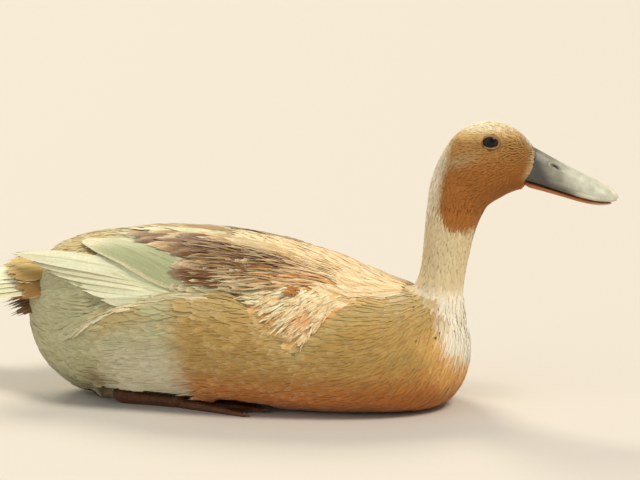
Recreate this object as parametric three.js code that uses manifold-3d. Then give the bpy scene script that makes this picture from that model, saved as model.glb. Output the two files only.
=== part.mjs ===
// A domestic duck, fawn and white, lying on its belly with the neck raised.
// Millimetres, +X towards the bill, +Y to the bird's left, +Z up, the floor at z = 0.
// The origin is the middle of the whole bird's box, at floor level.
import * as THREE from 'three';
import { mergeVertices } from 'three/addons/utils/BufferGeometryUtils.js';
import Module from 'manifold-3d';

const wasm = await Module();
wasm.setup();

// ---- driving dimensions ----

const SEAM = 0.3; // gap left between pieces that touch
const WING_DEPTH = 7; // how deep a folded wing is let into the side of the trunk
const WING_TUCK = 3.2; // how far its lower edge lies under the flank feathers
const WING_PROUD = 2.5; // how far the rest of it stands out over the back
const FLANK_BULGE = 3; // how far the flank feathers stand out over the rump
const EYE = { x: 114.6, y: 11.6, z: 178.7, radius: 5.2 };
const TRUNK_RING = 28; // corners in each ring of the trunk
const NECK_RING = 20;
const BILL_RING = 16;
const WING_CORNERS = 44; // in the outline of a wing
const CLEAR_OF_BIRD = 110; // farther from the middle than any piece

// Sections across x. top, bottom and wide are heights: wide is where the section is widest.
// half is the half width there. crown and keel are the superellipse powers above and below it:
// 2 is an ellipse, more is boxier, less is more like a gable.
const TRUNK = [
  { x: -205, top: 65, wide: 61, bottom: 57, half: 3, crown: 2, keel: 2 },
  { x: -202, top: 82, wide: 60, bottom: 38, half: 17, crown: 2, keel: 2 },
  { x: -193, top: 97, wide: 59, bottom: 20, half: 31, crown: 2, keel: 2 },
  { x: -178, top: 107, wide: 57, bottom: 7, half: 43, crown: 2, keel: 2 },
  { x: -156, top: 114, wide: 55, bottom: -2, half: 54, crown: 2, keel: 2.1 },
  { x: -118, top: 117.5, wide: 53, bottom: -4, half: 64, crown: 2, keel: 2.2 },
  { x: -76, top: 118, wide: 51, bottom: -4, half: 71, crown: 2, keel: 2.3 },
  { x: -30, top: 111, wide: 48, bottom: -4, half: 73.5, crown: 2, keel: 2.5 },
  { x: 10, top: 100.5, wide: 46, bottom: -4, half: 72.5, crown: 2.1, keel: 2.7 },
  { x: 44, top: 87.5, wide: 44, bottom: -4, half: 67, crown: 2.2, keel: 2.7 },
  { x: 70, top: 78, wide: 42, bottom: -3, half: 56, crown: 2.2, keel: 2.6 },
  { x: 88, top: 70, wide: 41, bottom: 2, half: 41, crown: 2.2, keel: 2.4 },
  { x: 98, top: 61, wide: 40, bottom: 13, half: 26, crown: 2.1, keel: 2.1 },
  { x: 103, top: 50, wide: 39, bottom: 27, half: 12, crown: 2, keel: 2 },
  { x: 104.3, top: 42, wide: 39, bottom: 36, half: 2, crown: 2, keel: 2 },
];

// Level sections up the neck: back and front are x, half is the half width.
const NECK = [
  { z: 30, back: 50, front: 100, half: 30 },
  { z: 50, back: 50, front: 102, half: 31 },
  { z: 64, back: 53, front: 100.8, half: 27 },
  { z: 77, back: 60, front: 99.2, half: 21 },
  { z: 89, back: 66.8, front: 99.4, half: 16.6 },
  { z: 104, back: 69, front: 102.4, half: 15 },
  { z: 119, back: 70, front: 106, half: 15 },
  { z: 133, back: 71, front: 112, half: 15.4 },
  { z: 146, back: 72.8, front: 118, half: 15.6 },
  { z: 158, back: 76.2, front: 120, half: 14.2 },
  { z: 168, back: 82, front: 114, half: 11 },
];

const HEAD = [
  { x: 77, top: 160, wide: 157, bottom: 154, half: 2.5, crown: 2, keel: 2 },
  { x: 81, top: 169, wide: 158, bottom: 147, half: 9.5, crown: 2, keel: 2 },
  { x: 88, top: 180.4, wide: 160, bottom: 140, half: 13.5, crown: 2, keel: 2 },
  { x: 97, top: 188.6, wide: 161, bottom: 134, half: 15.8, crown: 2, keel: 2 },
  { x: 107, top: 192.6, wide: 162, bottom: 132, half: 16.6, crown: 2.1, keel: 2.1 },
  { x: 117, top: 193.2, wide: 162, bottom: 138.6, half: 16.2, crown: 2.1, keel: 2.1 },
  { x: 126, top: 190.4, wide: 163, bottom: 144, half: 14.4, crown: 2, keel: 2.1 },
  { x: 134.5, top: 184.8, wide: 163, bottom: 147.4, half: 12, crown: 1.9, keel: 2.1 },
  { x: 141, top: 178, wide: 162, bottom: 149.6, half: 10, crown: 1.8, keel: 2.1 },
];

const UPPER_BILL = [
  { x: 133, top: 183, wide: 158, bottom: 156, half: 9.8, crown: 1.6, keel: 4 },
  { x: 142, top: 176.6, wide: 156, bottom: 153.6, half: 10, crown: 1.6, keel: 4 },
  { x: 151, top: 171.8, wide: 153, bottom: 151, half: 10, crown: 1.7, keel: 4 },
  { x: 161.5, top: 166, wide: 149.6, bottom: 147.8, half: 10.2, crown: 1.8, keel: 4 },
  { x: 173, top: 160.2, wide: 146.3, bottom: 144.7, half: 11.4, crown: 2, keel: 4 },
  { x: 184, top: 155, wide: 143.8, bottom: 142.2, half: 12.3, crown: 2.2, keel: 3 },
  { x: 191.5, top: 150.8, wide: 143.2, bottom: 141.6, half: 11, crown: 2.2, keel: 2.5 },
  { x: 196, top: 147.2, wide: 143, bottom: 141.4, half: 7, crown: 2, keel: 2 },
  { x: 198.2, top: 144.2, wide: 143, bottom: 142, half: 1.5, crown: 2, keel: 2 },
];

const LOWER_BILL = [
  { x: 128, top: 155.8, wide: 153, bottom: 148.2, half: 8.2, crown: 4, keel: 2 },
  { x: 137, top: 154.2, wide: 151.6, bottom: 147.4, half: 8.8, crown: 4, keel: 2 },
  { x: 150, top: 150.4, wide: 148.2, bottom: 145, half: 9, crown: 4, keel: 2.2 },
  { x: 163, top: 146.6, wide: 144.8, bottom: 142, half: 9.6, crown: 4, keel: 2.4 },
  { x: 176, top: 143.2, wide: 141.6, bottom: 138.8, half: 10.6, crown: 4, keel: 2.4 },
  { x: 186, top: 141.2, wide: 139.8, bottom: 137.6, half: 10.2, crown: 3, keel: 2.4 },
  { x: 192, top: 140.6, wide: 139.4, bottom: 138, half: 7, crown: 2.5, keel: 2 },
  { x: 194.5, top: 140, wide: 139.4, bottom: 138.8, half: 1.5, crown: 2, keel: 2 },
];

// The line where the flank feathers cover the wing, as x, z, from the tail forward.
const FLANK_LINE = [
  [-168, 48], [-142, 61], [-120, 71], [-80, 78.5], [-42, 77],
  [-24, 60], [-4, 45], [8, 60], [22, 72], [34, 80],
];
// The folded wing's upper outline, from its front round the back to the tail.
const WING_BACK = [[26, 90], [-20, 103], [-75, 112], [-130, 110], [-170, 100], [-160, 80]];
const WING_INSIDE = 9; // how near to the spine a wing reaches

// The long flight feathers past the folded wing. lean turns the blade's top inwards from upright.
const PRIMARIES = [
  { x: -98, y: 60, z: 86, tall: 13, thick: 2.6, lean: 30 },
  { x: -110, y: 61.5, z: 86, tall: 15, thick: 2.6, lean: 30 },
  { x: -130, y: 57.5, z: 87, tall: 16, thick: 2.6, lean: 31 },
  { x: -150, y: 51.5, z: 88, tall: 15, thick: 2.4, lean: 33 },
  { x: -172, y: 42, z: 91, tall: 11.5, thick: 2.1, lean: 38 },
  { x: -192, y: 31.5, z: 95.5, tall: 6.8, thick: 1.7, lean: 46 },
  { x: -205, y: 25, z: 98, tall: 3, thick: 1.2, lean: 50 },
  { x: -210, y: 22.5, z: 98.8, tall: 0.9, thick: 0.6, lean: 50 },
];

// The tail fan. arch is how much lower its edges lie than its middle.
const TAIL = [
  { x: -176, z: 87, half: 16, thick: 9, arch: 6 },
  { x: -194, z: 86, half: 25, thick: 7.5, arch: 8 },
  { x: -213, z: 84, half: 31, thick: 5, arch: 9.5 },
  { x: -232, z: 82.5, half: 33, thick: 3.2, arch: 9.5 },
  { x: -250, z: 81.5, half: 28, thick: 2, arch: 7 },
  { x: -261, z: 81, half: 17, thick: 1.4, arch: 2.8 },
  { x: -265, z: 80.8, half: 5, thick: 0.8, arch: 0.4 },
];

// The leg lies along the floor, half under the belly: the hock is behind and the toes are in front.
const HOCK = { x: -134, y: 31 };
const TOE_JOINT = { x: -90, y: 38 };
const SHANK = [
  { along: -0.1, wide: 3.2, tall: 5.4 },
  { along: 0.0, wide: 5.4, tall: 10.5 },
  { along: 0.14, wide: 5.2, tall: 10.5 },
  { along: 0.35, wide: 3.9, tall: 8.6 },
  { along: 0.7, wide: 3.7, tall: 8 },
  { along: 0.92, wide: 4.4, tall: 8 },
  { along: 1.0, wide: 3.6, tall: 6.6 },
];
const SHANK_PRESSED = 0.6; // how much of its round is lost to the flat underneath
const FOOT_HEADING = THREE.MathUtils.degToRad(-5); // the feet splay outwards
const TOE_LENGTHS = [50, 60, 53]; // inner, middle, outer
const TOE_START = 2; // from the joint to where the toes and the web begin
const TOE_SPREAD = THREE.MathUtils.degToRad(17);
const TOE_RADIUS = 3.1;
const TOE_TAPER = 0.55; // how much of its radius a toe loses by its tip
const KNUCKLES = [0.34, 0.7]; // where they are along a toe
const KNUCKLE_SWELL = 0.35;
const WEB_THICKNESS = 1.8;
// The hollow that the legs leave under the flanks, seen from the side as x, z.
const LEG_HOLLOW = [[-147, -2], [-24, -2], [-24, 5], [-60, 9], [-100, 12.5], [-147, 14]];
const LEG_HOLLOW_INSIDE = 20; // how near to the middle it reaches

// ---- smooth interpolation ----

function catmullRom(values, at) {
  const last = values.length - 1;
  const i = Math.min(Math.floor(at), last - 1);
  const f = at - i;
  const p1 = values[i];
  const p2 = values[i + 1];
  const p0 = i > 0 ? values[i - 1] : 2 * p1 - p2;
  const p3 = i + 2 <= last ? values[i + 2] : 2 * p2 - p1;
  const slope = (p2 - p0) / 2;
  const nextSlope = (p3 - p1) / 2;
  const cubic = 2 * p1 - 2 * p2 + slope + nextSlope;
  const square = -3 * p1 + 3 * p2 - 2 * slope - nextSlope;
  return ((cubic * f + square) * f + slope) * f + p1;
}

// The stations and, between each two, steps - 1 more, with every named size interpolated.
function refine(stations, steps) {
  const count = (stations.length - 1) * steps;
  const keys = Object.keys(stations[0]);
  return Array.from({ length: count + 1 }, (_, n) =>
    Object.fromEntries(keys.map((key) => [key, catmullRom(stations.map((s) => s[key]), n / steps)])));
}

const smooth = THREE.MathUtils.smoothstep;

// ---- closed skins over rings of points ----

// Rings run along the piece. Seen from the last ring, each goes round anticlockwise. The faces of
// a ring's two halves are split the opposite way, so that an even piece has even sides.
function skinOver(rings) {
  const size = rings[0].length;
  const points = rings.flat();
  const faces = [];
  for (let r = 0; r + 1 < rings.length; r++) {
    for (let k = 0; k < size; k++) {
      const next = (k + 1) % size;
      const a = r * size + k;
      const b = r * size + next;
      const half = Math.cos((2 * Math.PI * (k + 0.5)) / size) > 0;
      if (half) faces.push(a, b, b + size, a, b + size, a + size);
      else faces.push(a, b, a + size, b, b + size, a + size);
    }
  }
  const capWith = (start, outwards) => {
    const centre = new THREE.Vector3();
    for (let k = 0; k < size; k++) centre.addScaledVector(points[start + k], 1 / size);
    const hub = points.push(centre) - 1;
    for (let k = 0; k < size; k++) {
      const a = start + k;
      const b = start + ((k + 1) % size);
      if (outwards) faces.push(hub, a, b);
      else faces.push(hub, b, a);
    }
  };
  capWith(0, false);
  capWith((rings.length - 1) * size, true);
  const geometry = new THREE.BufferGeometry();
  const positions = points.flatMap((p) => p.toArray());
  geometry.setAttribute('position', new THREE.Float32BufferAttribute(positions, 3));
  geometry.setIndex(faces);
  return geometry;
}

// The corners of a ring: place(angle) gives each one.
function ringOf(size, place) {
  return Array.from({ length: size }, (_, k) => place((2 * Math.PI * k) / size));
}

const signedPower = (v, power) => Math.sign(v) * Math.abs(v) ** power;

// An upright ring at x. It goes anticlockwise seen from +X.
function sectionRing(s, size) {
  return ringOf(size, (angle) => {
    const up = Math.sin(angle);
    const power = 2 / (up > 0 ? s.crown : s.keel);
    const reach = up > 0 ? s.top - s.wide : s.wide - s.bottom;
    const across = s.half * signedPower(Math.cos(angle), power);
    return new THREE.Vector3(s.x, across, s.wide + reach * signedPower(up, power));
  });
}

// Moves each point of a set of rings outwards by depthAt(point), along the surface's normal.
function swell(rings, depthAt) {
  const size = rings[0].length;
  return rings.map((ring, r) => ring.map((p, k) => {
    const along = rings[Math.min(r + 1, rings.length - 1)][k].clone().sub(rings[Math.max(r - 1, 0)][k]);
    const around = ring[(k + 1) % size].clone().sub(ring[(k + size - 1) % size]);
    const normal = around.cross(along).normalize();
    return p.clone().addScaledVector(normal, depthAt(p));
  }));
}

// The same stations, larger by a seam on every side.
function enlarged(stations) {
  const last = stations.length - 1;
  return stations.map((s, i) => ({
    ...s,
    x: s.x + (i === last ? SEAM : 0) - (i === 0 ? SEAM : 0),
    top: s.top + SEAM,
    bottom: s.bottom - SEAM,
    half: s.half + SEAM,
  }));
}

// ---- solids ----

function solidOf(geometry) {
  const bare = geometry.clone();
  bare.deleteAttribute('normal');
  bare.deleteAttribute('uv');
  const merged = mergeVertices(bare, 1e-4);
  return new wasm.Manifold(new wasm.Mesh({
    numProp: 3,
    vertProperties: new Float32Array(merged.attributes.position.array),
    triVerts: new Uint32Array(merged.index.array),
  }));
}

function geometryOf(solid) {
  const mesh = solid.getMesh();
  const geometry = new THREE.BufferGeometry();
  geometry.setAttribute('position', new THREE.Float32BufferAttribute(mesh.vertProperties, 3));
  geometry.setIndex(Array.from(mesh.triVerts));
  return geometry;
}

// The same shape on the bird's other side.
function mirrored(geometry) {
  const copy = geometry.clone().scale(1, -1, 1);
  const index = copy.index.array;
  for (let i = 0; i < index.length; i += 3) [index[i], index[i + 1]] = [index[i + 1], index[i]];
  return copy;
}

const mirroredSolid = (solid) => solidOf(mirrored(geometryOf(solid)));
const skinned = (rings) => solidOf(skinOver(rings));

// An outline in x, z, drawn out sideways to the bird's right, from inside to clear of the bird.
function sideColumn(outline, inside) {
  const column = new THREE.ExtrudeGeometry(
    new THREE.Shape(outline.map(([x, z]) => new THREE.Vector2(x, z))),
    { depth: CLEAR_OF_BIRD - inside, bevelEnabled: false });
  return solidOf(column.rotateX(Math.PI / 2).translate(0, -inside, 0));
}

const aboveFloor = solidOf(new THREE.BoxGeometry(800, 400, 400).translate(0, 0, 200));

// ---- trunk and folded wings ----

const flankX = FLANK_LINE.map((p) => p[0]);

function flankHeight(x) {
  const next = flankX.findIndex((edge) => edge > x);
  const i = next < 0 ? flankX.length - 1 : Math.max(1, next);
  const [x0, z0] = FLANK_LINE[i - 1];
  const [x1, z1] = FLANK_LINE[i];
  return THREE.MathUtils.mapLinear(THREE.MathUtils.clamp(x, x0, x1), x0, x1, z0, z1);
}

// The flank feathers lie in a long lobe over the rump and under the wing.
function flankBulge(p) {
  const along = smooth(p.x, -152, -138) * (1 - smooth(p.x, -60, 20));
  const below = smooth(flankHeight(p.x) - p.z, -14, 6);
  return FLANK_BULGE * along * below * smooth(p.z, 2, 24);
}

// A wing lies lower than the flank feathers along their edge, and stands proud of the back above.
function wingRelief(p) {
  const overFlank = smooth(p.z - flankHeight(p.x), 0, 24);
  const offSpine = smooth(Math.abs(p.y), 8, 30);
  const proud = THREE.MathUtils.lerp(WING_PROUD / 2, WING_PROUD, offSpine);
  return THREE.MathUtils.lerp(-WING_TUCK, proud, overFlank);
}

const trunkRings = swell(refine(TRUNK, 2).map((s) => sectionRing(s, TRUNK_RING)), flankBulge);

// The wing's smooth outline, drawn in by inset all round.
function wingOutline(inset) {
  const corners = [...FLANK_LINE.slice(1), ...WING_BACK, FLANK_LINE[1]];
  const loop = new THREE.SplineCurve(corners.map(([x, z]) => new THREE.Vector2(x, z)));
  const points = loop.getSpacedPoints(WING_CORNERS).slice(0, -1);
  return points.map((p, i) => {
    const along = points[(i + 1) % points.length].clone().sub(points.at(i - 1)).normalize();
    return [p.x - inset * along.y, p.y + inset * along.x];
  });
}

const wingRoom = sideColumn(wingOutline(0), WING_INSIDE);
const underWing = skinned(swell(trunkRings, () => -WING_DEPTH));
const underWingWithSeam = skinned(swell(trunkRings, () => SEAM - WING_DEPTH));
const wing = skinned(swell(trunkRings, wingRelief))
  .intersect(sideColumn(wingOutline(2 * SEAM), WING_INSIDE + SEAM))
  .subtract(underWingWithSeam);

// ---- long wing feathers and tail ----

function bladeRing(s) {
  const lean = THREE.MathUtils.degToRad(s.lean);
  return ringOf(8, (angle) => {
    const up = s.tall * Math.sin(angle);
    const out = (s.thick / 2) * Math.cos(angle);
    const y = -s.y + up * Math.sin(lean) - out * Math.cos(lean);
    return new THREE.Vector3(s.x, y, s.z + up * Math.cos(lean) + out * Math.sin(lean));
  });
}

function tailRing(s) {
  return ringOf(20, (angle) => {
    const across = Math.cos(angle);
    const sag = s.arch * across * across;
    return new THREE.Vector3(s.x, s.half * across, s.z - sag + (s.thick / 2) * Math.sin(angle));
  }).reverse();
}

const plumageWithSeam = skinned(swell(trunkRings, (p) => Math.max(SEAM, wingRelief(p) + SEAM)));
const trunkWithSeam = skinned(swell(trunkRings, () => SEAM));
const primaries = skinned(refine(PRIMARIES, 2).map(bladeRing)).subtract(plumageWithSeam);
const tail = skinned(refine(TAIL, 2).map(tailRing)).subtract(trunkWithSeam);

// ---- neck, head and bill ----

// A level ring at z, anticlockwise seen from above.
function neckRing(s) {
  const middle = (s.back + s.front) / 2;
  const reach = (s.front - s.back) / 2;
  return ringOf(NECK_RING, (angle) =>
    new THREE.Vector3(middle + reach * Math.cos(angle), s.half * Math.sin(angle), s.z));
}

function loftAlongX(stations, size) {
  return skinned(refine(stations, 2).map((s) => sectionRing(s, size)));
}

// All that lies over the slope under the cheeks, where the head parts from the neck.
function overCheekLine(lift) {
  const slab = new THREE.BoxGeometry(300, 300, 300).translate(0, 0, 150);
  return solidOf(slab.rotateY(THREE.MathUtils.degToRad(14)).translate(90, 0, 135 + lift));
}

function eyeball(side, radius) {
  const ball = new THREE.SphereGeometry(radius, 12, 8);
  return solidOf(ball.scale(1, 0.86, 0.9).translate(EYE.x, side * EYE.y, EYE.z));
}

const upperBill = loftAlongX(UPPER_BILL, BILL_RING);
const lowerBill = loftAlongX(LOWER_BILL, BILL_RING);
const billRoom = loftAlongX(enlarged(UPPER_BILL), BILL_RING)
  .add(loftAlongX(enlarged(LOWER_BILL), BILL_RING));
const neckAndHead = skinned(refine(NECK, 2).map(neckRing)).add(loftAlongX(HEAD, NECK_RING));
const neck = neckAndHead.subtract(overCheekLine(0)).subtract(trunkWithSeam);
const head = neckAndHead
  .intersect(overCheekLine(SEAM))
  .subtract(eyeball(-1, EYE.radius + SEAM))
  .subtract(eyeball(1, EYE.radius + SEAM))
  .subtract(billRoom);

// ---- legs ----

function shankRing(s) {
  const x = THREE.MathUtils.lerp(HOCK.x, TOE_JOINT.x, s.along);
  const y = -THREE.MathUtils.lerp(HOCK.y, TOE_JOINT.y, s.along);
  return ringOf(8, (angle) => {
    const up = (s.tall / 2) * (1 + Math.sin(angle)) - SHANK_PRESSED;
    return new THREE.Vector3(x, y + s.wide * Math.cos(angle), up);
  });
}

// A tapering toe with its knuckles, from the joint outwards, flat underneath.
function toe(length, heading) {
  const stations = [0, 0.06, ...KNUCKLES.flatMap((at) => [at, at + 0.1]), 1];
  return skinned(stations.map((along) => {
    const slim = along === 0 ? 0.6 : 1 - TOE_TAPER * along ** 1.5;
    const radius = TOE_RADIUS * slim + (KNUCKLES.includes(along) ? KNUCKLE_SWELL : 0);
    const reach = TOE_START + length * along;
    return ringOf(8, (angle) => {
      const aside = radius * Math.cos(angle);
      return new THREE.Vector3(
        TOE_JOINT.x + reach * Math.cos(heading) - aside * Math.sin(heading),
        -TOE_JOINT.y + reach * Math.sin(heading) + aside * Math.cos(heading),
        radius * (0.9 + Math.sin(angle)) - 0.5);
    });
  }));
}

const toeHeadings = TOE_LENGTHS.map((_, i) => FOOT_HEADING + (1 - i) * TOE_SPREAD);

// The web reaches from toe to toe, with a scalloped front edge.
function web() {
  const tips = TOE_LENGTHS.map((length, i) =>
    new THREE.Vector2(Math.cos(toeHeadings[i]), Math.sin(toeHeadings[i])).multiplyScalar(0.9 * length));
  const shape = new THREE.Shape();
  shape.moveTo(0, 0);
  shape.lineTo(tips[2].x, tips[2].y);
  for (const i of [2, 1]) {
    const dip = tips[i].clone().add(tips[i - 1]).multiplyScalar(0.44);
    shape.quadraticCurveTo(dip.x, dip.y, tips[i - 1].x, tips[i - 1].y);
  }
  shape.lineTo(0, 0);
  const sheet = new THREE.ExtrudeGeometry(
    shape, { depth: WEB_THICKNESS, bevelEnabled: false, curveSegments: 5 });
  return solidOf(sheet.translate(TOE_JOINT.x + TOE_START, -TOE_JOINT.y, 0));
}

const shankRings = refine(SHANK, 2).map(shankRing);
const shank = skinned(shankRings).intersect(aboveFloor);
const shankRoom = skinned(swell(shankRings, () => 2 * SEAM));
const toes = TOE_LENGTHS.map((length, i) => toe(length, toeHeadings[i]));
const foot = toes.reduce((whole, one) => whole.add(one), web()).intersect(aboveFloor).subtract(shankRoom);
const legRoom = sideColumn(LEG_HOLLOW, LEG_HOLLOW_INSIDE).add(shankRoom);

// ---- the trunk, with room for the wings and legs ----

const trunk = skinned(trunkRings)
  .intersect(aboveFloor)
  .subtract(wingRoom.add(mirroredSolid(wingRoom)).subtract(underWing))
  .subtract(legRoom)
  .subtract(mirroredSolid(legRoom));

// ---- materials and the scene graph ----

function finish(name, colour, roughness) {
  const material = new THREE.MeshStandardMaterial({ color: colour, roughness, metalness: 0 });
  material.name = name;
  return material;
}

const FAWN = finish('fawn_plumage', '#c08a4a', 0.85);
const CREAM = finish('cream_plumage', '#e6dcbc', 0.85);
const HORN = finish('bill_horn', '#76807a', 0.45);
const PINK_HORN = finish('lower_bill_horn', '#c98a5c', 0.45);
const LEG_SKIN = finish('leg_skin', '#c9622a', 0.6);
const EYE_GLOSS = finish('eye', '#1c1310', 0.08);

const duck = new THREE.Group();

function addPiece(name, geometry, material) {
  geometry.computeVertexNormals();
  const mesh = new THREE.Mesh(geometry, material);
  mesh.name = name;
  duck.add(mesh);
}

// The right one as it is, and its mirror image on the left.
function addPair(name, solid, material) {
  const right = geometryOf(solid);
  addPiece(`${name}_right`, right, material);
  addPiece(`${name}_left`, mirrored(right), material);
}

addPiece('trunk', geometryOf(trunk), FAWN);
addPiece('neck', geometryOf(neck), CREAM);
addPiece('head', geometryOf(head), FAWN);
addPiece('bill_upper', geometryOf(upperBill), HORN);
addPiece('bill_lower', geometryOf(lowerBill), PINK_HORN);
addPiece('tail', geometryOf(tail), CREAM);
addPair('eye', eyeball(-1, EYE.radius), EYE_GLOSS);
addPair('wing', wing, FAWN);
addPair('primaries', primaries, CREAM);
addPair('leg', shank, LEG_SKIN);
addPair('foot', foot, LEG_SKIN);

// The origin is the middle of the bird's box, on the floor.
const box = new THREE.Box3().setFromObject(duck, true);
duck.position.set(-(box.min.x + box.max.x) / 2, -(box.min.y + box.max.y) / 2, -box.min.z);

export default duck;
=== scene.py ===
"""A fawn and white domestic duck, lying on its belly with its neck raised.

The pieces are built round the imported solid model, which gives every place and size. Landmarks are
in millimetres in the bird's own frame: x towards the bill, y to its left, z up from the floor. In
the functions q holds points in that frame, c the coat's colours and r the roots of one coat piece.
"""

import math
from functools import partial

import bmesh
import bpy
import numpy as np
from bpy.props import FloatProperty, FloatVectorProperty, IntProperty, PointerProperty
from bpy.types import Operator, Panel, PropertyGroup
from mathutils import Matrix, Vector
from mathutils.bvhtree import BVHTree


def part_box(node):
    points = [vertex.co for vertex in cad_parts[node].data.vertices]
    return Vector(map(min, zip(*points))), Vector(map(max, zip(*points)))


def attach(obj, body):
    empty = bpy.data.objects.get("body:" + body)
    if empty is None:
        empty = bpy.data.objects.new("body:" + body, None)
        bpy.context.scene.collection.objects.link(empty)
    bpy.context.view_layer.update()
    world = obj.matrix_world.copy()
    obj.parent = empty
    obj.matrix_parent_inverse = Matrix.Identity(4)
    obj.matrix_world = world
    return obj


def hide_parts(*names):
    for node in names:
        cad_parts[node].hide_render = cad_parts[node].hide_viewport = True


bl_info = {
    "name": "Lying Domestic Duck",
    "version": (1, 0, 0),
    "blender": (4, 5, 0),
    "location": "View3D > Sidebar > Duck",
    "description": "Plumage, bill, eyes and feet of a fawn and white duck, round its solid model",
    "category": "Object",
}

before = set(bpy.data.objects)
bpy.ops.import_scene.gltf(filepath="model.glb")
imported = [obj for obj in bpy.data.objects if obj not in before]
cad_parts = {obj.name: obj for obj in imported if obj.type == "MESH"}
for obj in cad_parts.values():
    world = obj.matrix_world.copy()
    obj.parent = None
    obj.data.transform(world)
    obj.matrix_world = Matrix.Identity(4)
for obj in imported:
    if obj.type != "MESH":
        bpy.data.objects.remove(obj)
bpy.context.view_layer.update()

MM = 0.001
TRUNK_REAR = -205  # the x of the trunk's last point, in the bird's frame
BIRD_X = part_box("trunk")[0].x - TRUNK_REAR * MM  # where the bird's frame has its zero
FLESH = ["trunk", "neck", "head", "wing_right", "wing_left"]
EYES = ["eye_right", "eye_left"]
BILL = ["bill_upper", "bill_lower"]
SIDES = ((-1, "right"), (1, "left"))
EYE_LOW, EYE_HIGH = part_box("eye_left")
EYE_SHIFT = Vector((1.4, 0, 1.0))  # the opening is a little ahead of the solid eye's middle and above it
EYE_MIDDLE = (EYE_LOW + EYE_HIGH) / 2 / MM - Vector((BIRD_X / MM, 0, 0)) + EYE_SHIFT
EYE_RADII = (EYE_HIGH - EYE_LOW) / 2 / MM
EYE_RADII.y *= 0.84  # the cornea is flatter than the solid eye, so the eye stands out less


def linear(code):
    """The linear red, green and blue of an sRGB hex colour."""
    parts = [int(code[i : i + 2], 16) / 255 for i in (1, 3, 5)]
    return tuple(c / 12.92 if c <= 0.04045 else ((c + 0.055) / 1.055) ** 2.4 for c in parts)


# ---- settings ----


def metres(name, default, text):
    """A setting that is a length, in metres."""
    return FloatProperty(name=name, default=default, min=0, unit="LENGTH", description=text)


def colour(name, default, text):
    """A setting that is a colour, from its sRGB hex value."""
    return FloatVectorProperty(
        name=name, default=linear(default), size=3, min=0, max=1, subtype="COLOR", description=text
    )


class DuckCoatSizes(PropertyGroup):
    body_depth: metres("Body coat", 4.4 * MM, "How deep the plumage is over the body's skin")
    neck_depth: metres("Neck coat", 2.2 * MM, "How deep the plumage is on the neck")
    head_depth: metres("Head coat", 1.1 * MM, "How deep the plumage is on the head")
    skin_step: metres("Skin step", 1.8 * MM, "The size of the skin's faces")
    seed: IntProperty(name="Seed", default=7, description="Sets where each feather grows")


class DuckCoatColours(PropertyGroup):
    breast: colour("Breast", "#b89755", "Golden fawn of the breast and the front of the flanks")
    deep: colour("Deep fawn", "#b06a26", "Browner fawn low on the breast and on the cheeks")
    gold: colour("Gold", "#ecc684", "Light gold of the mantle and the upper breast")
    pale: colour("Pale edge", "#fcefca", "Pale fringes of the mantle's feathers")
    cream: colour("Cream", "#dccaa0", "Warm cream of the neck")
    white: colour("White", "#f8f3e2", "White of the bib, the tail and the nape")
    olive: colour("Olive cream", "#c3c196", "Cool cream of the wing and the rear flanks")
    bright: colour("Bright cream", "#edf2d0", "Bright cream of the long wing feathers")
    buff: colour("Buff", "#d2b978", "Buff of the rump and the flank's upper edge")
    brown: colour("Brown", "#6f4a1c", "Dark streaks of the scapulars")


class DuckBillSettings(PropertyGroup):
    base: colour("Base", "#4a4844", "Dark slate where the bill meets the face")
    middle: colour("Middle", "#8f8b7b", "Grey-green of the middle of the bill")
    far: colour("Far end", "#cfd0bb", "Pale horn of the last third")
    nail: colour("Nail", "#efe3cb", "The hard nail at the tip")
    flesh: colour("Flesh", "#b46c36", "Orange flesh of the lower bill")
    step: metres("Step", 0.45 * MM, "The size of the bill's faces")


class DuckEyeSettings(PropertyGroup):
    iris: colour("Iris", "#2c1810", "Very dark brown of the iris")
    pupil: colour("Pupil", "#050403", "The pupil")
    lid: colour("Lid", "#c3ab86", "The bare, pale edge of the lids")


class DuckFootSettings(PropertyGroup):
    # the scales' brown is darker than the living orange: painted shade from the body over the legs
    scale: colour("Scales", "#70431f", "Brown of the shank, toes and web")
    crease: colour("Creases", "#4c2f1a", "Between the scales")
    claw: colour("Claws", "#5d4a36", "Horn of the claws")
    step: metres("Step", 0.6 * MM, "The size of the foot's faces")


class DuckStageSettings(PropertyGroup):
    floor: colour("Floor", "#d3cfc7", "Plain pale floor")
    distance: metres("Distance", 1.4, "From the bird's middle to the camera, along the floor")
    height: metres("Height", 0.313, "The camera's height over the floor")
    azimuth: FloatProperty(
        name="Azimuth", default=math.radians(11), subtype="ANGLE",
        description="How far the camera stands towards the bird's front",
    )
    pitch: FloatProperty(
        name="Pitch", default=math.radians(8.24), subtype="ANGLE",
        description="How far the camera looks down",
    )
    lens: FloatProperty(
        name="Lens", default=118.1, min=1, subtype="DISTANCE_CAMERA",
        description="Focal length on a 36 mm sensor",
    )


GROUPS = {
    "duck_coat": DuckCoatSizes,
    "duck_colours": DuckCoatColours,
    "duck_bill": DuckBillSettings,
    "duck_eyes": DuckEyeSettings,
    "duck_feet": DuckFootSettings,
    "duck_stage": DuckStageSettings,
}


def palette(group):
    """A group's settings by name, each as an array."""
    return {key: np.array(getattr(group, key)) for key in group.__annotations__}


# ---- nodes ----


def add_node(tree, kind, inputs=None, **settings):
    """Adds a node with its settings. Its inputs are a list in order, or go by name or number. Each
    gets a value, or a link from a socket or from the first output in use of a node."""
    node = tree.nodes.new(kind)
    for key, value in settings.items():
        setattr(node, key, value)
    for key, value in inputs.items() if isinstance(inputs, dict) else enumerate(inputs or ()):
        if isinstance(value, bpy.types.Node):
            value = next(output for output in value.outputs if output.enabled)
        if isinstance(value, bpy.types.NodeSocket):
            tree.links.new(value, node.inputs[key])
        else:
            node.inputs[key].default_value = value
    return node


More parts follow.
